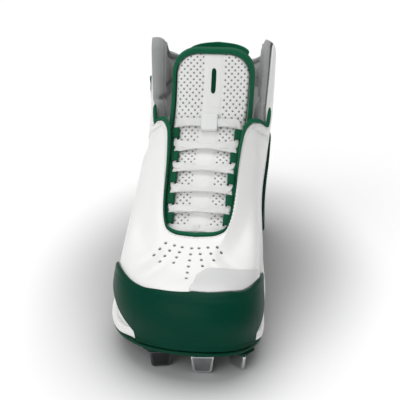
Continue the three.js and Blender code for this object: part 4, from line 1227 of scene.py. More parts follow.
@dataclass
class Overlays:
    """The panels on the upper: toe bumper, pale overlay, heel counter and pull tabs."""

    bumper_columns: float = 12.3
    overlay_start: float = -0.3
    overlay_end: float = 10.0
    counter_column: float = 17.1
    heel_tab_column: float = 33.5
    side_tab_column: float = 48.5
    bumper: Table = field(default_factory=lambda: Table("t low_medial low_lateral medial lateral", [
        [0.0, 0.03, 0.03, 0.645, 0.645],
        [0.1, 0.03, 0.03, 0.62, 0.62],
        [0.146, 0.03, 0.03, 0.597, 0.603],
        [0.152, 0.03, 0.19, 0.594, 0.602],
        [0.172, 0.03, 0.25, 0.583, 0.6],
        [0.178, 0.2, 0.26, 0.581, 0.599],
        [0.2, 0.25, 0.3, 0.57, 0.595],
        [0.25, 0.33, 0.36, 0.54, 0.58],
        [0.31, 0.39, 0.4, 0.48, 0.525],
        [0.345, 0.425, 0.425, 0.435, 0.44],
    ]))
    overlay: Table = field(default_factory=lambda: Table("p high", [
        [-0.01, 0.66],
        [0.0, 0.69],
        [0.042, 0.765],
        [0.086, 0.78],
        [0.139, 0.75],
        [0.211, 0.67],
        [0.278, 0.575],
    ]))
    counter: Table = field(default_factory=lambda: Table("t low medial lateral", [
        [0.475, 0.46, 0.53, 0.52],
        [0.495, 0.37, 0.6, 0.545],
        [0.51, 0.32, 0.64, 0.56],
        [0.53, 0.28, 0.665, 0.575],
        [0.55, 0.25, 0.675, 0.6],
        [0.58, 0.235, 0.675, 0.64],
        [0.61, 0.23, 0.685, 0.66],
        [0.65, 0.23, 0.69, 0.68],
        [0.72, 0.23, 0.68, 0.68],
        [0.8, 0.23, 0.65, 0.65],
        [1.0, 0.23, 0.645, 0.645],
    ]))

    def sided(self, table: Table, p: Points, prefix: str = "") -> Points:
        """Read a table's medial or lateral column by the side that each place is on."""
        t, side = turn(p)
        return np.where(side > 0, table.read(prefix + "medial", t), table.read(prefix + "lateral", t))

    def bumper_relief(self, place: Points, level: Points) -> Points:
        """Moulded lines near the bumper's foot, and a slight roll along its top."""
        top = self.sided(self.bumper, place) - level
        lines = sum(bell(level - line, 0.007) for line in (0.062, 0.092, 0.122, 0.152))
        return -0.35 * lines - 0.12 * bell(top - 0.05, 0.012)

    def counter_relief(self, place: Points, level: Points) -> Points:
        """A shallow groove along the counter's top, and two soft ribs round the heel."""
        top = self.sided(self.counter, place) - level
        ribs = 0.4 * bell(level - 0.36, 0.02) + 0.4 * bell(level - 0.46, 0.02)
        return -0.4 * bell(top - 0.05, 0.012) + ribs * smooth(turn(place)[0], 0.6, 0.8)

    def tab_relief(self, place: Points, level: Points) -> Points:
        """Soft ribs across a folded webbing tab."""
        return 0.15 * np.sin(level * 260)

    def build(self) -> None:
        """Make all the panels and the thread along the counter."""
        side = self.bumper_columns
        border = 0.008
        Panel("bumper_cap", "toe_bumper", "bumper", GREEN_RUBBER, fine_places(-side, side, 10),
              lambda p: self.sided(self.bumper, p, "low_"), lambda p: self.sided(self.bumper, p),
              S.bumper_thickness, rows=80, round_over=1.5, fade=16.0, relief=self.bumper_relief).build()
        Panel("toe_panel", "toe_overlay", "overlay", PALE_LEATHER,
              fine_places(self.overlay_start, self.overlay_end, 10),
              lambda p: self.sided(self.bumper, p) + border,
              lambda p: np.maximum(self.overlay.read("high", p),
                                   self.sided(self.bumper, p) + 2 * border) + border,
              S.overlay_thickness, rows=26, round_over=0.9).build()
        around = 2 * SIDE_COLUMNS
        Panel("counter_cap", "heel_counter", "counter", GREEN_RUBBER,
              fine_places(self.counter_column, around - self.counter_column, 8),
              lambda p: self.counter.read("low", turn(p)[0]), lambda p: self.sided(self.counter, p),
              S.counter_thickness, rows=40, round_over=1.2, fade=8.0, relief=self.counter_relief).build()
        zone = 1 - self.heel_tab_column / SIDE_COLUMNS
        rise = S.heel_tab_rise / PAST_EDGE
        # The heel tab's lighter green is painted light.
        Panel("heel_pull", "heel_tab", "tabs", GREEN_PULL_PAINTED_LIGHT,
              fine_places(self.heel_tab_column, around - self.heel_tab_column, 10),
              lambda p: np.full(len(p), 0.78),
              lambda p: 1 + rise * round_end(zone + 0.004 - np.abs(1 - p), zone, 3.0),
              S.heel_tab_thickness, rows=44, round_over=1.7, relief=self.tab_relief).build()
        Panel("side_pull", "side_tab", "tabs", GREEN_WEBBING,
              fine_places(self.side_tab_column - 0.5, self.side_tab_column + 0.5, 16),
              lambda p: np.full(len(p), 0.82), lambda p: np.full(len(p), 0.91),
              S.side_tab_thickness, rows=26, round_over=1.3, relief=self.tab_relief).build()
        row = StitchRow(length=2.2, pitch=3.0, thick=0.5)
        start = self.counter_column + 0.6
        p = np.linspace(start, around - start, 700) / SIDE_COLUMNS
        level = self.sided(self.counter, p) - 0.028
        height = np.full(len(p), S.lift + S.counter_thickness - 0.1)
        thread = row.shape(FACE.offset(p, level, height), FACE.normal(p, level))
        make_piece("counter_thread", thread, GREEN_THREAD, "counter")


@dataclass
class Collar:
    """The padded lining, the piping round the throat and their folds."""

    first: float = 19.2
    piping_column: float = 19.6
    roll_width: float = 10.6
    seam_height: float = 141.0
    low: Table = field(default_factory=lambda: Table("t low", [
        [0.533, 0.9],
        [0.56, 0.87],
        [0.6, 0.85],
        [0.7, 0.84],
        [1.0, 0.86],
    ]))
    folds: tuple[tuple[float, float, float], ...] = (
        (19.75, 0.7, 0.1), (20.5, 1.3, 0.12), (21.4, 1.0, 0.16), (22.6, 1.2, 0.2), (24.4, 0.7, 0.3),
        (26.8, 0.7, 0.3), (29.2, 0.5, 0.35), (31.7, 0.8, 0.3), (34.1, 0.6, 0.35),
    )

    def places(self) -> Points:
        """Columns of the lining, closer together at its two rounded ends."""
        near = np.array([0, 0.03, 0.07, 0.12, 0.18, 0.25, 0.33])
        ear = np.arange(self.first + 0.4, 24.5, 0.06)
        back = np.arange(24.6, 2 * SIDE_COLUMNS - 24.55, 0.16)
        half = np.concatenate([self.first + near, ear])
        return np.concatenate([half, back, 2 * SIDE_COLUMNS - half[::-1]])

    def ring(self, place: float) -> Points:
        """One section of the lining: hidden side, roll over the edge, and the padded inside."""
        p = place / SIDE_COLUMNS
        side = min(place, 2 * SIDE_COLUMNS - place)
        low = float(self.low.read("low", turn(p)[0]))
        back = -S.wall - S.gap - 0.2
        over = float(smooth(side, self.piping_column, self.piping_column + 0.4))
        drop = EAR_DROP * float(ear_share(np.array(p)))
        top = float(FACE.below_edge(np.array(p), drop))
        hidden = np.linspace(low, top + (S.gap + 0.2) / PAST_EDGE, 8)
        hidden_depth = back - tuck(p, hidden)
        drawn = float(tuck(p, 1.0))
        turned = np.linspace(0.12, 0.5, 7) * np.pi
        crest = float(FACE.edge(np.array(p))[2])
        front = 1 - float(smooth(side, 24.5, 27))
        puff = 1 - front * (0.35 + 0.6 * float(bell(crest - self.seam_height, 2.2)))
        rise = 0.6 + (S.lining_roll * puff + 0.75 * drop - 0.6) * np.sin(turned)
        roll = np.where(rise < drop, mix(top, 1, rise / max(drop, 0.001)), 1 + (rise - drop) / PAST_EDGE)
        roll_depth = mix(mix(back, 0.5, over), mix(back, -3.9, over), 1 - np.cos(turned)) - drawn
        level = mix(roll[-1], low, np.linspace(0, 1, 84)[1:])
        base = FACE.point(np.full(len(level), p), level)
        way = np.cumsum(np.linalg.norm(np.diff(base, axis=0, prepend=base[:1]), axis=-1)) + 0.6
        pad = self.pad_depth(way, base[:, 2], side)
        inside = np.minimum(back - pad, back - tuck(p, level) - 1.0)
        inside = mix(roll_depth[-1], inside, quarter(way, 5.5))
        levels = np.concatenate([hidden, roll, level])
        depths = np.concatenate([hidden_depth, roll_depth, inside])
        return FACE.offset(np.full(len(levels), p), levels, depths)

    def pad_depth(self, way: Points, z: Points, side: float) -> Points:
        """How far the padding swells inwards.

        Args:
            way: Distances down the inside from the crest.
            z: Heights of the same points.
            side: The column, counted from the toe.

        Returns:
            Depths in millimetres: an outer roll, then the inner pad beyond a groove.
        """
        half = self.roll_width / 2
        arch = np.sqrt(np.clip(1 - ((way - half) / half) ** 2, 0, 1))
        roll = 1.6 + mix(3.6, 6.8, float(bell(side - 21.8, 3.2))) * arch
        inner = np.clip((way - self.roll_width + 1.2) / (way[-1] - self.roll_width + 1.2), 0, 1)
        swell = 1.0 + (S.lining_thickness - 1.0) * np.sin(np.pi * inner**0.75) ** 0.6
        depth = np.maximum(roll, swell)
        front = 1 - float(smooth(side, 25, 28))
        depth = depth - 1.1 * front * bell(way - 3.4, 0.7)
        depth = depth * (1 - 0.7 * front * bell(z - self.seam_height, 1.4))
        depth = depth * (1 + 0.3 * front * bell(z - self.seam_height + 11, 6.0))
        for at, deep, width in self.folds:
            depth = depth - deep * bell(side - at, width) * (0.4 + 0.6 * smooth(way, 6, 14))
        end = float(quarter((side - self.first) * 10.0 + 0.5, 4.0))
        return np.maximum(depth, 0.8) * mix(0.5, 1.0, end)

    def lining_rings(self) -> Points:
        """All sections of the lining, from ear to ear round the heel."""
        return np.array([self.ring(place) for place in self.places()])

    def piping_shape(self) -> Shape:
        """A round cord of knit tape along the throat, from ear to ear."""
        gap = (S.gap + 0.1) / PAST_EDGE
        out = (S.gap + S.piping_width) / PAST_EDGE
        places = fine_places(-self.piping_column, self.piping_column, 8) / SIDE_COLUMNS
        turns = full_turn(18)
        level = 1 + mix(gap, out, 0.5) + (out - gap) / 2 * np.cos(turns)
        height = -0.5 + 1.45 * np.sin(turns)
        wider = 1 + 1.0 * smooth(np.abs(places) * SIDE_COLUMNS, 18.5, self.piping_column - 0.2)
        level = 1 + gap + (level[None, :] - 1 - gap) * wider[:, None]
        end = np.minimum(places - places[0], places[-1] - places)[:, None]
        height = -0.5 + (height[None, :] + 0.5) * (0.6 + 0.4 * quarter(end, 0.006))
        return loft(FACE.offset(places[:, None] + np.zeros_like(level), level, height))

    def build(self) -> None:
        """Make the lining and the piping."""
        shape = loft(self.lining_rings())
        lining = make_piece("collar_pad", shape, GREY_SATIN, "lining", ["collar_lining"])
        make_piece("piping_tape", self.piping_shape(), GREEN_KNIT, "piping", ["throat_piping"])


class TongueLine:
    """The tongue's middle line and the places on its front face."""

    LINE = Table("b y rise", [
        [0.0, -0.317, 0.72 * S.vamp_height],
        [0.1, -0.263, 0.87 * S.vamp_height],
        [0.28, -0.182, 0.655 * S.instep_height],
        [0.47, -0.101, 0.87 * S.instep_height],
        [0.65, -0.027, 1.06 * S.instep_height],
        [0.77, 0.01, 0.84 * S.collar_height],
        [0.89, 0.027, 0.98 * S.collar_height],
        [1.0, 0.03, 1.12 * S.collar_height],
    ])
    SHARES = Table("b half crown thick shift", [
        [0.0, 0.36, 0.3, 0.33, 0.64],
        [0.1, 0.43, 0.5, 0.38, 0.64],
        [0.28, 0.55, 0.8, 0.56, 0.65],
        [0.47, 0.6, 0.9, 0.67, 0.71],
        [0.65, 0.6, 1, 0.78, 0.87],
        [0.77, 0.61, 0.8, 0.94, 1.15],
        [0.89, 0.615, 0.6, 1, 1.31],
        [1.0, 0.615, 0.45, 0.89, 1.38],
    ])

    FLATTER = 0.8

    def __init__(self) -> None:
        """Lay the line and measure it."""
        foot = float(midsole_top(0.3))
        rows = self.LINE.values
        points = np.stack([np.zeros(len(rows)), rows[:, 1] * S.length, foot + rows[:, 2]], axis=-1)
        self.route = Route(points)
        self.shares = np.linspace(0, 1, 201)
        self.way = way_along(self.route.at(self.shares))
        self.length = float(self.way[-1])

    def frame(self, b: Values) -> tuple[Points, Points, Points]:
        """Give the middle, the way along and the way out of the front at shares b."""
        b = np.asarray(b, float)
        share = np.clip(b, 0, 1)
        t = np.interp(share * self.length, self.way, self.shares)
        along = self.route.tangent(t)
        normal = np.stack([np.zeros_like(b), -along[..., 2], along[..., 1]], axis=-1)
        middle = self.route.at(t) + along * ((b - share) * self.length)[..., None]
        middle[..., 0] = self.SHARES.read("shift", share) * S.collar_shift
        return middle, along, normal

    def half(self, b: Values) -> Points:
        """Half width of the tongue at shares b."""
        return self.SHARES.read("half", b) * S.throat_width

    def thickness(self, b: Values) -> Points:
        """Thickness of the tongue at shares b."""
        return self.SHARES.read("thick", b) * S.tongue_thickness

    def on(self, x: Values, b: Values, height: Values = 0.0) -> Points:
        """Give points x across the tongue at shares b, a height above its front face."""
        x, b, height = np.broadcast_arrays(*(np.asarray(v, float) for v in (x, b, height)))
        middle, _, normal = self.frame(b)
        bow = np.sqrt((x / self.half(b)) ** 4 + self.FLATTER**4)
        drop = self.SHARES.read("crown", b) * S.tongue_crown * bow
        middle[..., 0] += x
        return middle + normal * (height - drop)[..., None]


LINE = TongueLine()


@dataclass
class Tongue:
    """The padded tongue with its punched front, its bound edge and a plain bar."""

    binding_start: float = 0.66
    across: int = 56
    rows: int = 150
    pore_inner: float = 7.2
    pore_outer: float = 26.0
    middle: float = 0.8
    edge_side: float = 3.2
    edge_top: float = 4.2
    corner: float = 19.5
    bar_low: float = 0.81
    bar_high: float = 0.915

    def narrowed(self, b: Values) -> Points:
        """Half width of the padded part, inside the binding where that runs."""
        start = self.binding_start
        inset = (self.edge_side + S.gap) * smooth(b, start - 0.05, start - 0.02)
        half = LINE.half(b) - inset
        corner = self.corner - self.edge_side
        past = np.maximum(0, (b - 1) * LINE.length + self.edge_top + S.gap + corner)
        return half - corner + np.sqrt(np.maximum(0, corner**2 - past**2))

    def pad_shape(self) -> Shape:
        """Rings of the padded part: its front, rounded sides and back."""
        top = 1 - (self.edge_top + S.gap) / LINE.length
        b = np.unique(np.concatenate([
            np.linspace(0, top - 0.02, self.rows), np.linspace(top - 0.02, top, 10)]))
        half = self.narrowed(b)[:, None]
        thick = LINE.thickness(b)[:, None]
        end = np.minimum(b * LINE.length, (top - b) * LINE.length)[:, None]
        full = 0.35 + 0.65 * quarter(end, 3.5)
        a = np.linspace(-1, 1, self.across)[None, :]
        a = np.sign(a) * (1 - (1 - np.abs(a)) ** 1.25)
        x = a * half
        edge = (1 - np.abs(a)) * half
        soft = quarter(edge, 3.0)
        front = -0.42 * thick * (1 - soft) - (1 - full) * 0.5 * thick
        front = front + self.relief(x, b[:, None], edge)
        back = -thick + 0.42 * thick * (1 - soft) + (1 - full) * 0.5 * thick
        outer = LINE.on(x, b[:, None], front)
        inner = LINE.on(x[:, ::-1], b[:, None], back[:, ::-1])
        shape = loft(np.concatenate([outer, inner], axis=1))
        flat = np.stack([x, b[:, None] * LINE.length + 0 * x, 0 * x], axis=-1)
        shape.marks["flat"] = np.concatenate([flat, flat[:, ::-1]], axis=1).reshape(-1, 3)
        away = np.abs(x - self.middle)
        zone = (away > self.pore_inner) & (away < self.pore_outer) & (b[:, None] > 0.2)
        zone = zone.astype(float)
        shape.marks["pores"] = np.concatenate([zone, 0 * zone], axis=1).ravel()
        shape.blank("painted_hole_shade")
        return shape

    def relief(self, x: Points, b: Points, edge: Points) -> Points:
        """Soft relief of the front: a smooth middle band, low wrinkles under the lace bars."""
        away = np.abs(x - self.middle)
        band = 0.3 * (1 - smooth(away, self.pore_inner - 2.0, self.pore_inner - 0.6))
        seam = -0.2 * bell(away - self.pore_inner + 0.6, 0.5)
        under = b * LINE.length
        wrinkle = 0.35 * np.sin(under * 0.36 + 0.5 * np.sin(x * 0.12)) * smooth(b, 0.15, 0.25)
        wrinkle = wrinkle * (1 - smooth(b, 0.62, 0.7))
        crease = -0.6 * bell(under - 0.745 * LINE.length - 0.02 * x**2 / 4, 2.2)
        crease = crease - 0.4 * bell(under - 0.7 * LINE.length + 0.01 * x**2, 1.8)
        return (band + seam + wrinkle + crease) * quarter(edge, 4.0)

    def binding_shape(self) -> Shape:
        """The padded binding, up one side, round the top and down the other."""
        half = float(LINE.half(0.9))
        top = LINE.length
        corner = self.corner
        start = self.binding_start * top
        side = [(half, h, 1.0, 0.0) for h in np.linspace(start, top - corner, 60)]
        for angle in np.linspace(0, np.pi / 2, 26)[1:]:
            x = half - corner + corner * np.cos(angle)
            h = top - corner + corner * np.sin(angle)
            side.append((x, h, np.cos(angle), np.sin(angle)))
        side += [(x, top, 0.0, 1.0) for x in np.linspace(half - corner, 0.3, 12)[1:]]
        path = side + [(-x, h, -out_x, out_h) for x, h, out_x, out_h in side[::-1]]
        section = Route(np.array([
            (0.04, -0.06, 0), (0.3, 0.55, 0), (0.62, 0.6, 0), (0.9, -0.02, 0), (1.0, -1.0, 0),
            (0.93, -1.7, 0), (0.55, -2.0, 0), (0.05, -2.0, 0)])).at(np.linspace(0, 1, 26))
        rings = []
        for x, h, out_x, out_h in path:
            b = h / LINE.length
            thick = float(LINE.thickness(min(b, 1.0)))
            ease = min(1.0, 0.55 + 0.45 * float(quarter(h - start, 3.0)))
            step = (section[:, 0] - 1) * mix(self.edge_side, self.edge_top, out_h)
            height = np.where(section[:, 1] > 0, section[:, 1], section[:, 1] * thick / 2)
            height = (height + thick / 2) * ease - thick / 2
            rings.append(LINE.on(x + out_x * step, b + out_h * step / LINE.length, height))
        return loft(np.array(rings))

    def bar_shape(self) -> Shape:
        """A plain narrow bar with rounded ends on the tongue's smooth middle."""
        low, high = self.bar_low * LINE.length, self.bar_high * LINE.length
        way = np.linspace(0, 1, 40)
        h = mix(low, high, way)
        width = 1.7 * np.sqrt(np.maximum(1 - np.abs(2 * way - 1) ** 8, 0.02))
        turns = full_turn(14)
        x = self.middle + width[:, None] * np.cos(turns)
        height = 0.45 + 0.4 * np.sin(turns)[None, :] * (width[:, None] / 1.7)
        return loft(LINE.on(x, (h / LINE.length)[:, None], height + 0 * x))

    def build(self) -> None:
        """Make the pad, its binding and the bar."""
        pad = make_piece("tongue_pad", self.pad_shape(), TONGUE_LEATHER, "tongue", ["tongue"])
        tape = make_piece("binding_tape", self.binding_shape(), GREEN_KNIT, "binding",
                          ["tongue_binding"])
        make_piece("tongue_bar", self.bar_shape(), GREEN_RUBBER, "binding")


@dataclass
class Lacing:
    """Webbing loops, the flat lace that runs through them, and the keeper."""

    rows: tuple[float, ...] = (0.233, 0.325, 0.425, 0.532, 0.645)
    keeper_lift: float = 0.2
    over: float = 0.3
    under: float = -0.6
    apart: float = 1.0
    droop: float = 1.9
    pinch: float = 3.2
    webbing: float = 0.8
    thick: float = 1.1
    outward: float = 1.1
    corner: float = 0.6
    keeper_size: float = 13.5
    keeper_middle: float = 0.6

    def __post_init__(self) -> None:
        """Work out the slots from the lace."""
        self.loop_width = self.pinch + S.slot_room + 2 * self.webbing
        self.loop_height = self.thick + 2 * S.slot_room + 2 * self.webbing
        self.lace_height = self.loop_height / 2 + 3 * S.gap

    def throat_half(self, b: float, side: int) -> float:
        """Clear distance from the tongue's middle to the piping on one side."""
        middle = LINE.frame(b)[0]
        low, high = 0.0, 0.46
        for _ in range(24):
            half = (low + high) / 2
            if FACE.edge(np.array(half))[1] < middle[1]:
                low = half
            else:
                high = half
        rim = FACE.point(side * low, 1 + (S.gap + S.piping_width) / PAST_EDGE)
        return side * float(rim[0] - middle[0]) - S.loop_clearance

    def loop_middle(self, b: float, side: int) -> float:
        """Distance from the tongue's middle to the middle of a loop."""
        return self.throat_half(b, side) - self.loop_width / 2 - 2 * S.gap + self.outward

    def axes(self, x: float, b: float) -> tuple[Points, Points, Points]:
        """Ways across, out of and along the tongue at a loop."""
        reach = S.loop_length / 2 / LINE.length
        across = unit(LINE.on(x + 1, b) - LINE.on(x - 1, b))
        along = unit(LINE.on(x, b + reach) - LINE.on(x, b - reach))
        out = unit(np.cross(across, along))
        return across, out, np.cross(across, out)

    def band(self, place: Points, wide: Points, high: Points, deep: Points,
             size: tuple[float, float], length: float, thick: float) -> Shape:
        """A band of webbing wrapped round a rounded rectangle.

        Args:
            place: Its middle.
            wide: The way of the rectangle's width.
            high: The way of its height.
            deep: The way of the band's own width.
            size: Outer width and height.
            length: The band's own width.
            thick: The webbing's thickness.

        Returns:
            The closed band.
        """
        half_w, half_h = (size[0] - thick) / 2, (size[1] - thick) / 2
        corner = min(half_w, half_h) * 0.75
        turns = full_turn(48)
        x = np.clip(np.cos(turns) * 2.2 * half_w, corner - half_w, half_w - corner)
        y = np.clip(np.sin(turns) * 2.2 * half_h, corner - half_h, half_h - corner)
        x, y = x + corner * np.cos(turns), y + corner * np.sin(turns)
        normal = np.stack([np.cos(turns), np.sin(turns)], axis=-1)
        angles = full_turn(14)
        flat = squared(np.cos(angles), 0.35) * length / 2
        raised = squared(np.sin(angles), 0.6) * thick / 2
        rings = []
        for i in range(len(turns)):
            w = x[i] + normal[i, 0] * raised
            h = y[i] + normal[i, 1] * raised
            rings.append(place + w[:, None] * wide + h[:, None] * high + flat[:, None] * deep)
        return loft(np.array(rings), looped=True)

    def loops(self, side: int) -> Shape:
        """The loops of one side with the strip of webbing that joins them."""
        shapes = []
        for b in self.rows:
            x = side * self.loop_middle(b, side)
            across, out, along = self.axes(x, b)
            place = LINE.on(x, b, self.lace_height)
            shapes.append(self.band(place, across, out, along, (self.loop_width, self.loop_height),
                                    S.loop_length, self.webbing))
        end = 0.25 * S.loop_length / LINE.length
        low = self.lace_height - self.loop_height / 2 + S.gap
        rings = []
        angles = full_turn(12)
        for b in np.linspace(self.rows[0] - end, self.rows[-1] + end, 70):
            outer = self.throat_half(b, side) + S.loop_clearance + 0.5
            inner = outer - S.loop_clearance - 1.5
            x = (outer + inner) / 2 + squared(np.cos(angles), 0.5) * (outer - inner) / 2
            height = low + S.loop_strip / 2 * (1 + squared(np.sin(angles), 0.5))
            rings.append(LINE.on(side * x, b, height))
        shapes.append(loft(np.array(rings)))
        return join(shapes)

    def lace_path(self, side: int) -> Points:
        """Rows of x, h, lift and width along one strand, from the bottom bar to the top bar."""
        reach = S.loop_length / 2 + 1
        turning = 2.3
        heights = [b * LINE.length for b in self.rows]
        path = [(-2 * side, heights[0] - reach - turning, 0, S.lace_width)]
        way = side
        for level, h in enumerate(heights):
            x = way * self.loop_middle(self.rows[level], way)
            bend = x - turning * way
            path.append((bend, h - reach - turning, 0, S.lace_width + self.corner))
            path.append((x, h - reach, 0, self.pinch))
            path.append((x, h, 0, self.pinch))
            path.append((x, h + reach, 0, self.pinch))
            path.append((bend, h + reach + turning, 0, S.lace_width + self.corner))
            if level < len(heights) - 1:
                above = (way * side > 0) == (level % 2 == 0)
                lift = self.over if above else self.under
                shift = self.apart if above else -self.apart
                middle = (h + heights[level + 1]) / 2 - self.droop
                path.append((0, middle + shift, lift, S.lace_width - 1.8))
            way = -way
        path.append((2 * way, heights[-1] + reach + turning, self.keeper_lift, S.lace_width))
        return np.array(path, float)

    def strand(self, side: int) -> Shape:
        """One flat lace, swept along its path with a soft crown and rolled edges."""
        path = self.lace_path(side)
        route = Route(path[:, :3])
        at = np.linspace(0, 1, 520)
        points, tangent = route.at(at), route.tangent(at)
        flat = np.hypot(tangent[:, 0], tangent[:, 1])
        out_x, out_h = -tangent[:, 1] / flat, tangent[:, 0] / flat
        k = np.minimum((at * route.spans).astype(int), route.spans - 1)
        f = at * route.spans - k
        width = mix(path[k, 3], path[k + 1, 3], f * f * (3 - 2 * f))
        angles = full_turn(16)
        wide = squared(np.cos(angles), 0.5)
        high = squared(np.sin(angles), 0.7)
        step = wide[None, :] * width[:, None] / 2
        way = way_along(points)
        sag = 0.5 * np.sin(way * 0.31 + 2 * side)[:, None] * wide[None, :]
        sag = sag + 0.16 * np.sin(way * 0.83)[:, None] * np.cos(np.pi * wide)[None, :]
        x = points[:, :1] + out_x[:, None] * step
        h = points[:, 1:2] + out_h[:, None] * step
        thick = self.thick * (0.95 + 0.05 * np.sin(way * 0.5))[:, None]
        height = self.lace_height + points[:, 2:3] + high[None, :] * thick / 2 + sag
        shape = loft(LINE.on(x, h / LINE.length, height))
        flat_mark = np.stack([step, way[:, None] + 0 * step, 0 * step], axis=-1)
        shape.marks["flat"] = flat_mark.reshape(-1, 3)
        return shape

    def keeper(self) -> Shape:
        """The strap that holds the top bar against the tongue."""
        b = self.rows[-1] + (S.loop_length / 2 + 4) / LINE.length
        _, along, normal = LINE.frame(b)
        height = 2 * self.thick + S.slot_room + 2 * self.webbing
        place = LINE.on(self.keeper_middle, b, self.lace_height + self.keeper_lift - 1.0)
        shape = self.band(place, along, normal, np.cross(along, normal), (self.keeper_size, height),
                          0.85 * S.keeper_width, self.webbing)
        shape.blank("painted_hole_shade")
        return shape

    def build(self) -> None:
        """Make the loops, the two strands and the keeper."""
        for side, name in ((1, "medial"), (-1, "lateral")):
            make_piece(f"loops_{name}", self.loops(side), GREEN_WEBBING, "loops", [f"lace_loops_{name}"])
        make_piece("lace_strand_1", self.strand(1), WHITE_LACE, "lace", ["lace"])
        make_piece("lace_strand_2", self.strand(-1), WHITE_LACE, "lace")
        make_piece("keeper_strap", self.keeper(), WHITE_STRAP, "keeper", ["tongue_keeper"])


def behind_bumper(u: Values) -> Points:
    """Rise from 0 under the bumper to 1 behind its lower corners."""
    return smooth(u, 0.075, 0.12)


@dataclass
class SoleSlab:
    """A slab of the sole in rows across it, from toe to heel.

    Its profile gives, from the bottom up, how far each side point lies outside the midsole's
    seam and how high, both as functions of the share of the length.
    """

    profile: Sequence[tuple[Callable, Callable]]
    rows: int = 170
    across: int = 30
    bottom_relief: Optional[Callable] = None
    top_relief: Optional[Callable] = None

    def side(self, t: Points, side: int) -> Points:
        """Points of one side, shape (rows, profile, 3)."""
        p = t if side > 0 else 2 - t
        seam = FACE.point(p, SEAM_LEVEL)
        out = FACE.normal(p, SEAM_LEVEL)
        out[:, 2] = 0
        out = unit(out)
        u = seam[:, 1] / S.length + 0.5
        layers = []
        for outset, height in self.profile:
            layer = seam + out * outset(u)[:, None]
            layer[:, 2] = height(u)
            layers.append(layer)
        return np.stack(layers, axis=1)

    def sheet(self, start: Points, end: Points, relief: Optional[Callable]) -> Points:
        """Points across between the two sides, without the ends, with a relief in height."""
        share = np.linspace(0, 1, self.across + 2)[1:-1]
        points = mix(start[:, None, :], end[:, None, :], share[None, :, None])
        if relief is not None:
            edge = np.minimum(share, 1 - share)[None, :] * np.abs(end[:, :1] - start[:, :1])
            points[..., 2] += relief(points[..., 0], points[..., 1]) * quarter(edge, 4.0)
        return points

    def shape(self) -> Shape:
        """Build the slab."""
        t = np.linspace(0.0008, 0.9992, self.rows)
        medial, lateral = self.side(t, 1), self.side(t, -1)
        bottom = self.sheet(lateral[:, 0], medial[:, 0], self.bottom_relief)
        top = self.sheet(medial[:, -1], lateral[:, -1], self.top_relief)
        rings = np.concatenate([bottom, medial, top, lateral[:, ::-1]], axis=1)
        return loft(rings, cap=Cap.DISC)


@dataclass(frozen=True)
class Spike:
    """One spike: its place as shares of the ball width and length, its turn and its steel."""

    name: str
    x: float
    y: float
    turned: float
    tip: float
    finish: Finish

    def place(self) -> Points:
        """Point on the plate's underside above the spike."""
        return np.array([self.x * S.ball_width, self.y * S.length, float(plate_bottom(self.y + 0.5))])

    def put(self, points: Points) -> Points:
        """Turn points about the spike's axis and move them to its place."""
        angle = math.radians(self.turned)
        c, s = math.cos(angle), math.sin(angle)
        matrix = np.array([[c, -s, 0], [s, c, 0], [0, 0, 1]])
        return points @ matrix.T + self.place()

    def blade(self) -> Shape:
        """A stamped blade with round lower corners and eased edges."""
        top = -S.pod_depth - S.gap
        tip = self.tip - self.place()[2]
        half, low_half = S.blade_width / 2, 0.44 * S.blade_width
        corner = 2.6
        arc = np.linspace(0, np.pi / 2, 9)
        side = [(half, top)]
        side += [(mix(half, low_half, s), mix(top, tip + corner, s)) for s in (0.3, 0.65, 1.0)]
        side += [(low_half - corner + corner * np.cos(a), tip + corner - corner * np.sin(a))
                 for a in arc[1:]]
        outline = np.array(side + [(-x, z) for x, z in side[::-1]])
        middle = outline.mean(axis=0)
        rings = []
        thick = S.blade_thickness / 2
        sides = ((-1, 0.55), (-0.92, 0.2), (-0.75, 0), (0.75, 0), (0.92, 0.2), (1, 0.55))
        for share, inset in ((-0.9, 1.9), (-0.92, 1.4), *sides, (0.92, 1.4), (0.9, 1.9)):
            away = outline - middle
            scale = 1 - inset / np.maximum(np.linalg.norm(away, axis=1, keepdims=True), 1e-6)
            ring = middle + away * scale
            ring[:, 1] = np.clip(ring[:, 1], tip, top)
            taper = mix(1.0, 0.9, (top - ring[:, 1]) / (top - tip))
            rings.append(np.stack([ring[:, 0], share * thick * taper, ring[:, 1]], axis=-1))
        shape = loft(np.array(rings), cap=Cap.DISC)
        worn = np.ones((len(rings), len(outline)))
        worn[[0, -1]] = 0
        shape.marks["worn"] = worn.ravel()
        shape.points = self.put(shape.points)
        return shape

    def pod(self) -> Shape:
        """The moulded foot that carries the blade, with a soft fillet into the plate."""
        rows = ((0.9, 9.5, 11.0), (-0.1, 7.0, 9.2), (-0.6, 5.8, 8.2), (-1.6, 4.6, 7.0),
                (-2.8, 3.2, 5.0), (-3.35, 2.3, 3.6), (-3.6, 1.2, 2.2))
        turns = full_turn(48)
        cos, sin = np.cos(turns), np.sin(turns)
        rings = []
        for z, wide, deep in rows:
            half_x = (S.blade_width + wide) / 2
            half_y = (S.blade_thickness + deep) / 2
            x = squared(cos, 0.45) * half_x
            y = squared(sin, 0.6) * half_y
            rings.append(np.stack([x, y, np.full(48, z)], axis=-1))
        shape = loft(np.array(rings), cap=Cap.DISC)
        shape.points = self.put(shape.points)
        return shape


def profile_rows(edge: Callable, rows: Sequence[tuple[float, Callable, float]]) -> list:
    """Turn rows into a slab's profile.

    Args:
        edge: How far the slab's rim lies outside the midsole's seam.
        rows: How far each point lies inside the rim, a height, and how far above that it is.

    Returns:
        Pairs of functions of the share of the length: outset and height.
    """
    return [(lambda u, inset=inset: edge(u) - inset, lambda u, base=base, rise=rise: base(u) + rise)
            for inset, base, rise in rows]


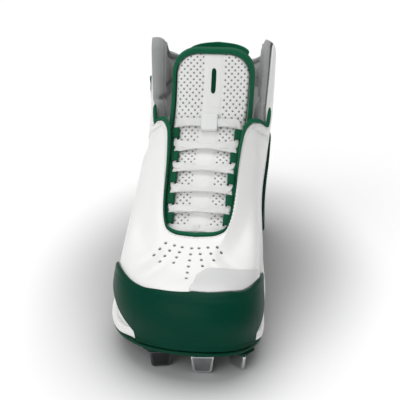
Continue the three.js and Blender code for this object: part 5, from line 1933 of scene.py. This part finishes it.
@dataclass
class Sole:
    """Plate, spikes, midsole and insole."""

    toe_thinner: float = 1.1
    spikes: tuple[Spike, ...] = (
        Spike("spike_toe_centre", 0.135, -0.445, 4, S.toe_spike_lift, POLISHED_STEEL),
        # This spike's steel is darkened as painted shade.
        Spike("spike_toe_lateral", -0.135, -0.425, 14, S.toe_spike_lift, STEEL_IN_PAINTED_SHADE),
        Spike("spike_toe_medial", 0.345, -0.415, -42, S.toe_spike_lift, BRIGHT_STEEL),
        Spike("spike_ball_medial", 0.37, -0.235, -68, 0, BRIGHT_STEEL),
        Spike("spike_ball_lateral", -0.4, -0.2, 66, 0, BRIGHT_STEEL),
        Spike("spike_ball_centre", -0.02, -0.27, 0, 0, BRIGHT_STEEL),
        Spike("spike_heel_medial", 0.27, 0.3, -62, 0, BRIGHT_STEEL),
        Spike("spike_heel_lateral", -0.25, 0.3, 62, 0, BRIGHT_STEEL),
        Spike("spike_heel_back", 0.01, 0.43, 0, 0, BRIGHT_STEEL),
    )

    def tread(self, x: Points, y: Points) -> Points:
        """Relief of the plate's underside: a raised shank and shallow ribs across the ball."""
        u = y / S.length + 0.5
        arch = smooth(u, 0.38, 0.44) * (1 - smooth(u, 0.66, 0.72))
        shank = -0.9 * arch * (bell(x - 9, 3.0) + bell(x + 9, 3.0))
        ribs = 0.5 * (np.sin(y * 0.9 + 0.02 * x**2) > 0.2) * (1 - arch) * smooth(np.abs(x), 4, 8)
        return shank + ribs

    def plate(self) -> Shape:
        """The moulded plate with a rounded rim."""
        def edge(u: Points) -> Points:
            """How far the rim lies outside the midsole's seam."""
            return mix(S.lift + S.bumper_thickness, S.midsole_flare, behind_bumper(u)) - S.plate_inset

        def low(u: Points) -> Points:
            """Height of the underside, a little thinner at the toe than the solid."""
            return plate_bottom(u) + self.toe_thinner * (1 - smooth(u, 0.06, 0.2))

        def high(u: Points) -> Points:
            """Height of the plate's top."""
            return plate_bottom(u) + S.plate_thickness

        rows = ((2.6, low, 0.0), (1.4, low, 0.12), (0.5, low, 0.5), (0.08, low, 1.1), (0.0, low, 1.6),
                (0.0, high, -0.5), (0.4, high, -0.1), (1.2, high, -0.05))
        profile = profile_rows(edge, rows)
        return SoleSlab(profile, rows=260, across=44, bottom_relief=self.tread).shape()

    def midsole(self) -> Shape:
        """The foam wedge with a bulged wall and a line moulded into it."""
        def outset(bulge: float, inset: float) -> Callable:
            """How far a point of the wall lies outside the midsole's seam."""
            return lambda u: (S.midsole_flare + bulge) * behind_bumper(u) - inset

        def foot(u: Points) -> Points:
            """Height of the wall's foot, just above the plate."""
            return plate_bottom(u) + S.plate_thickness + S.gap

        def height(share: float, lift: float) -> Callable:
            """Height of a point at a share of the wall, and a lift above that."""
            return lambda u: mix(foot(u), midsole_top(u), share) + lift

        rows = (
            (0.0, S.plate_inset + 0.8, 0.0, 0.0), (0.0, S.plate_inset * 0.6, 0.03, 0.0),
            (0.1, 0.0, 0.12, 0.0), (0.35, 0.0, 0.3, 0.0), (0.4, 0.0, 0.45, 0.0), (0.36, 0.0, 0.54, 0.0),
            (-0.15, 0.0, 0.57, 0.0), (-0.2, 0.0, 0.6, 0.0), (0.25, 0.0, 0.63, 0.0),
            (0.25, 0.0, 0.75, 0.0), (0.12, 0.0, 0.88, 0.0), (-0.1, 0.0, 1.0, -0.5),
            (-0.5, 0.0, 1.0, -0.12), (-1.1, 0.0, 1.0, -0.02),
        )
        profile = [(outset(bulge, inset), height(share, lift)) for bulge, inset, share, lift in rows]
        return SoleSlab(profile, rows=220, across=20).shape()

    def insole(self) -> Shape:
        """The sock liner, a little dished at the heel."""
        def rim(u: Points) -> Points:
            """How far the rim lies outside the midsole's seam: inside the upper's wall."""
            return -S.wall - 1 + 0 * u

        def low(u: Points) -> Points:
            """Height of the liner's underside."""
            return midsole_top(u) + S.gap

        def high(u: Points) -> Points:
            """Height of the liner's top."""
            return low(u) + S.insole_thickness

        def dish(x: Points, y: Points) -> Points:
            """Soft hollow under the heel."""
            return -1.2 * bell(np.hypot(x - 1, y - 105), 24.0)

        rows = ((0.4, low, 0.0), (0.0, low, 0.6), (0.0, high, -0.6), (0.7, high, -0.05))
        profile = profile_rows(rim, rows)
        return SoleSlab(profile, rows=150, across=30, top_relief=dish).shape()

    def build(self) -> None:
        """Make the sole's pieces from the ground up."""
        make_piece("plate_shell", self.plate(), GREEN_PLASTIC, "plate", ["outsole_plate"])
        make_piece("plate_pods", join([s.pod() for s in self.spikes]), GREEN_PLASTIC, "plate")
        for spike in self.spikes:
            blade = spike.name.replace("spike", "blade")
            make_piece(blade, spike.blade(), spike.finish, "spikes", [spike.name])
        make_piece("midsole_foam", self.midsole(), WHITE_FOAM, "midsole", ["midsole"])
        make_piece("insole_liner", self.insole(), GREY_TEXTILE, "insole", ["insole"])


@dataclass
class Studio:
    """Floor, soft lights and the camera at the photograph's angle."""

    eye: tuple[float, float, float] = (0.0763, -0.7468, 0.3603)
    aim: tuple[float, float, float] = (0.0, 0.0, 0.07)
    view_angle: float = 21.0
    floor_size: float = 12.0
    # Size, place and grey of the shadow painted on the floor round the shoe.
    painted_shadow_scale: tuple[float, float, float] = (10.5, 5.8, 1.0)
    painted_shadow_place: tuple[float, float, float] = (0.0, -0.03, 0.0)
    painted_shadow_grey: tuple[float, float, float, float] = (0.46, 0.46, 0.46, 1.0)
    white: tuple[float, float, float, float] = (0.96, 0.96, 0.96, 1.0)

    def build(self) -> None:
        """Set up everything round the shoe."""
        self.add_floor()
        self.add_light("top", (-0.1, 0.4, 1.7), 60, 1.7)
        self.add_light("key", (-0.7, -1.3, 1.0), 50, 1.1)
        world = bpy.data.worlds.new("studio")
        bpy.context.scene.world = world
        world.use_nodes = True
        back = world.node_tree.nodes["Background"]
        back.inputs["Color"].default_value = (1, 1, 1, 1)
        n = Nodes(world.node_tree)
        seen = n.add("LightPath").outputs["Is Camera Ray"]
        n.feed(back.inputs["Strength"], n.range(seen, 0, 1, 0.38, 1.0))
        bpy.context.scene.view_settings.view_transform = "Standard"
        self.add_camera()

    def add_floor(self) -> None:
        """A pale floor with a grey shadow painted round the shoe, fading out to white further away."""
        half = self.floor_size / 2
        mesh = bpy.data.meshes.new("floor")
        corners = [(-half, -half, 0), (half, -half, 0), (half, half, 0), (-half, half, 0)]
        mesh.from_pydata(corners, [], [(0, 1, 2, 3)])
        floor = bpy.data.objects.new("floor", mesh)
        bpy.context.scene.collection.objects.link(floor)
        material = bpy.data.materials.new("floor_with_painted_shadow")
        material.use_nodes = True
        shader = material.node_tree.nodes["Principled BSDF"]
        shader.inputs["Roughness"].default_value = 0.6
        shader.inputs["Specular IOR Level"].default_value = 0.1
        n = Nodes(material.node_tree)
        # Painted shadow: the floor turns grey near the shoe and fades to white further out.
        place = n.add("TexCoord").outputs["Object"]
        moved = n.add("VectorMath", {0: place, 1: self.painted_shadow_place}, operation="ADD")
        scaled = n.add("VectorMath", {0: moved.outputs[0], 1: self.painted_shadow_scale}, operation="MULTIPLY")
        away = n.add("VectorMath", {0: scaled.outputs[0]}, operation="LENGTH").outputs["Value"]
        share = n.add("MapRange", {"Value": away, "From Min": 0.55, "From Max": 1.6},
                      interpolation_type="SMOOTHSTEP").outputs[0]
        n.feed(shader.inputs["Base Color"], n.blend(share, self.painted_shadow_grey, self.white))
        mesh.materials.append(material)

    def add_light(self, name: str, place: tuple[float, float, float], spread: float,
                  strength: float) -> None:
        """A distant soft light that shines from a place towards the shoe, its spread in degrees."""
        light = bpy.data.lights.new(name, "SUN")
        light.angle = math.radians(spread)
        light.energy = strength
        lamp = bpy.data.objects.new(name, light)
        bpy.context.scene.collection.objects.link(lamp)
        lamp.rotation_euler = self.turned(place)

    def turned(self, place: tuple[float, float, float]) -> object:
        """Rotation that points an object at a place towards the shoe."""
        return (Vector(self.aim) - Vector(place)).to_track_quat("-Z", "Y").to_euler()

    def add_camera(self) -> None:
        """The camera, at the photograph's distance and angle."""
        data = bpy.data.cameras.new("camera")
        data.angle = math.radians(self.view_angle)
        camera = bpy.data.objects.new("camera", data)
        bpy.context.scene.collection.objects.link(camera)
        camera.location = self.eye
        camera.rotation_euler = self.turned(self.eye)
        bpy.context.scene.camera = camera


def main() -> None:
    """Build the shoe's pieces in order."""
    logging.basicConfig(level=logging.INFO, format="%(message)s")
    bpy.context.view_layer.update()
    Studio().build()
    for assembly in (Sole(), Upper(), Overlays(), Collar(), Tongue(), Lacing()):
        assembly.build()
        LOG.info("%s built", type(assembly).__name__)


if __name__ == "__main__":
    main()
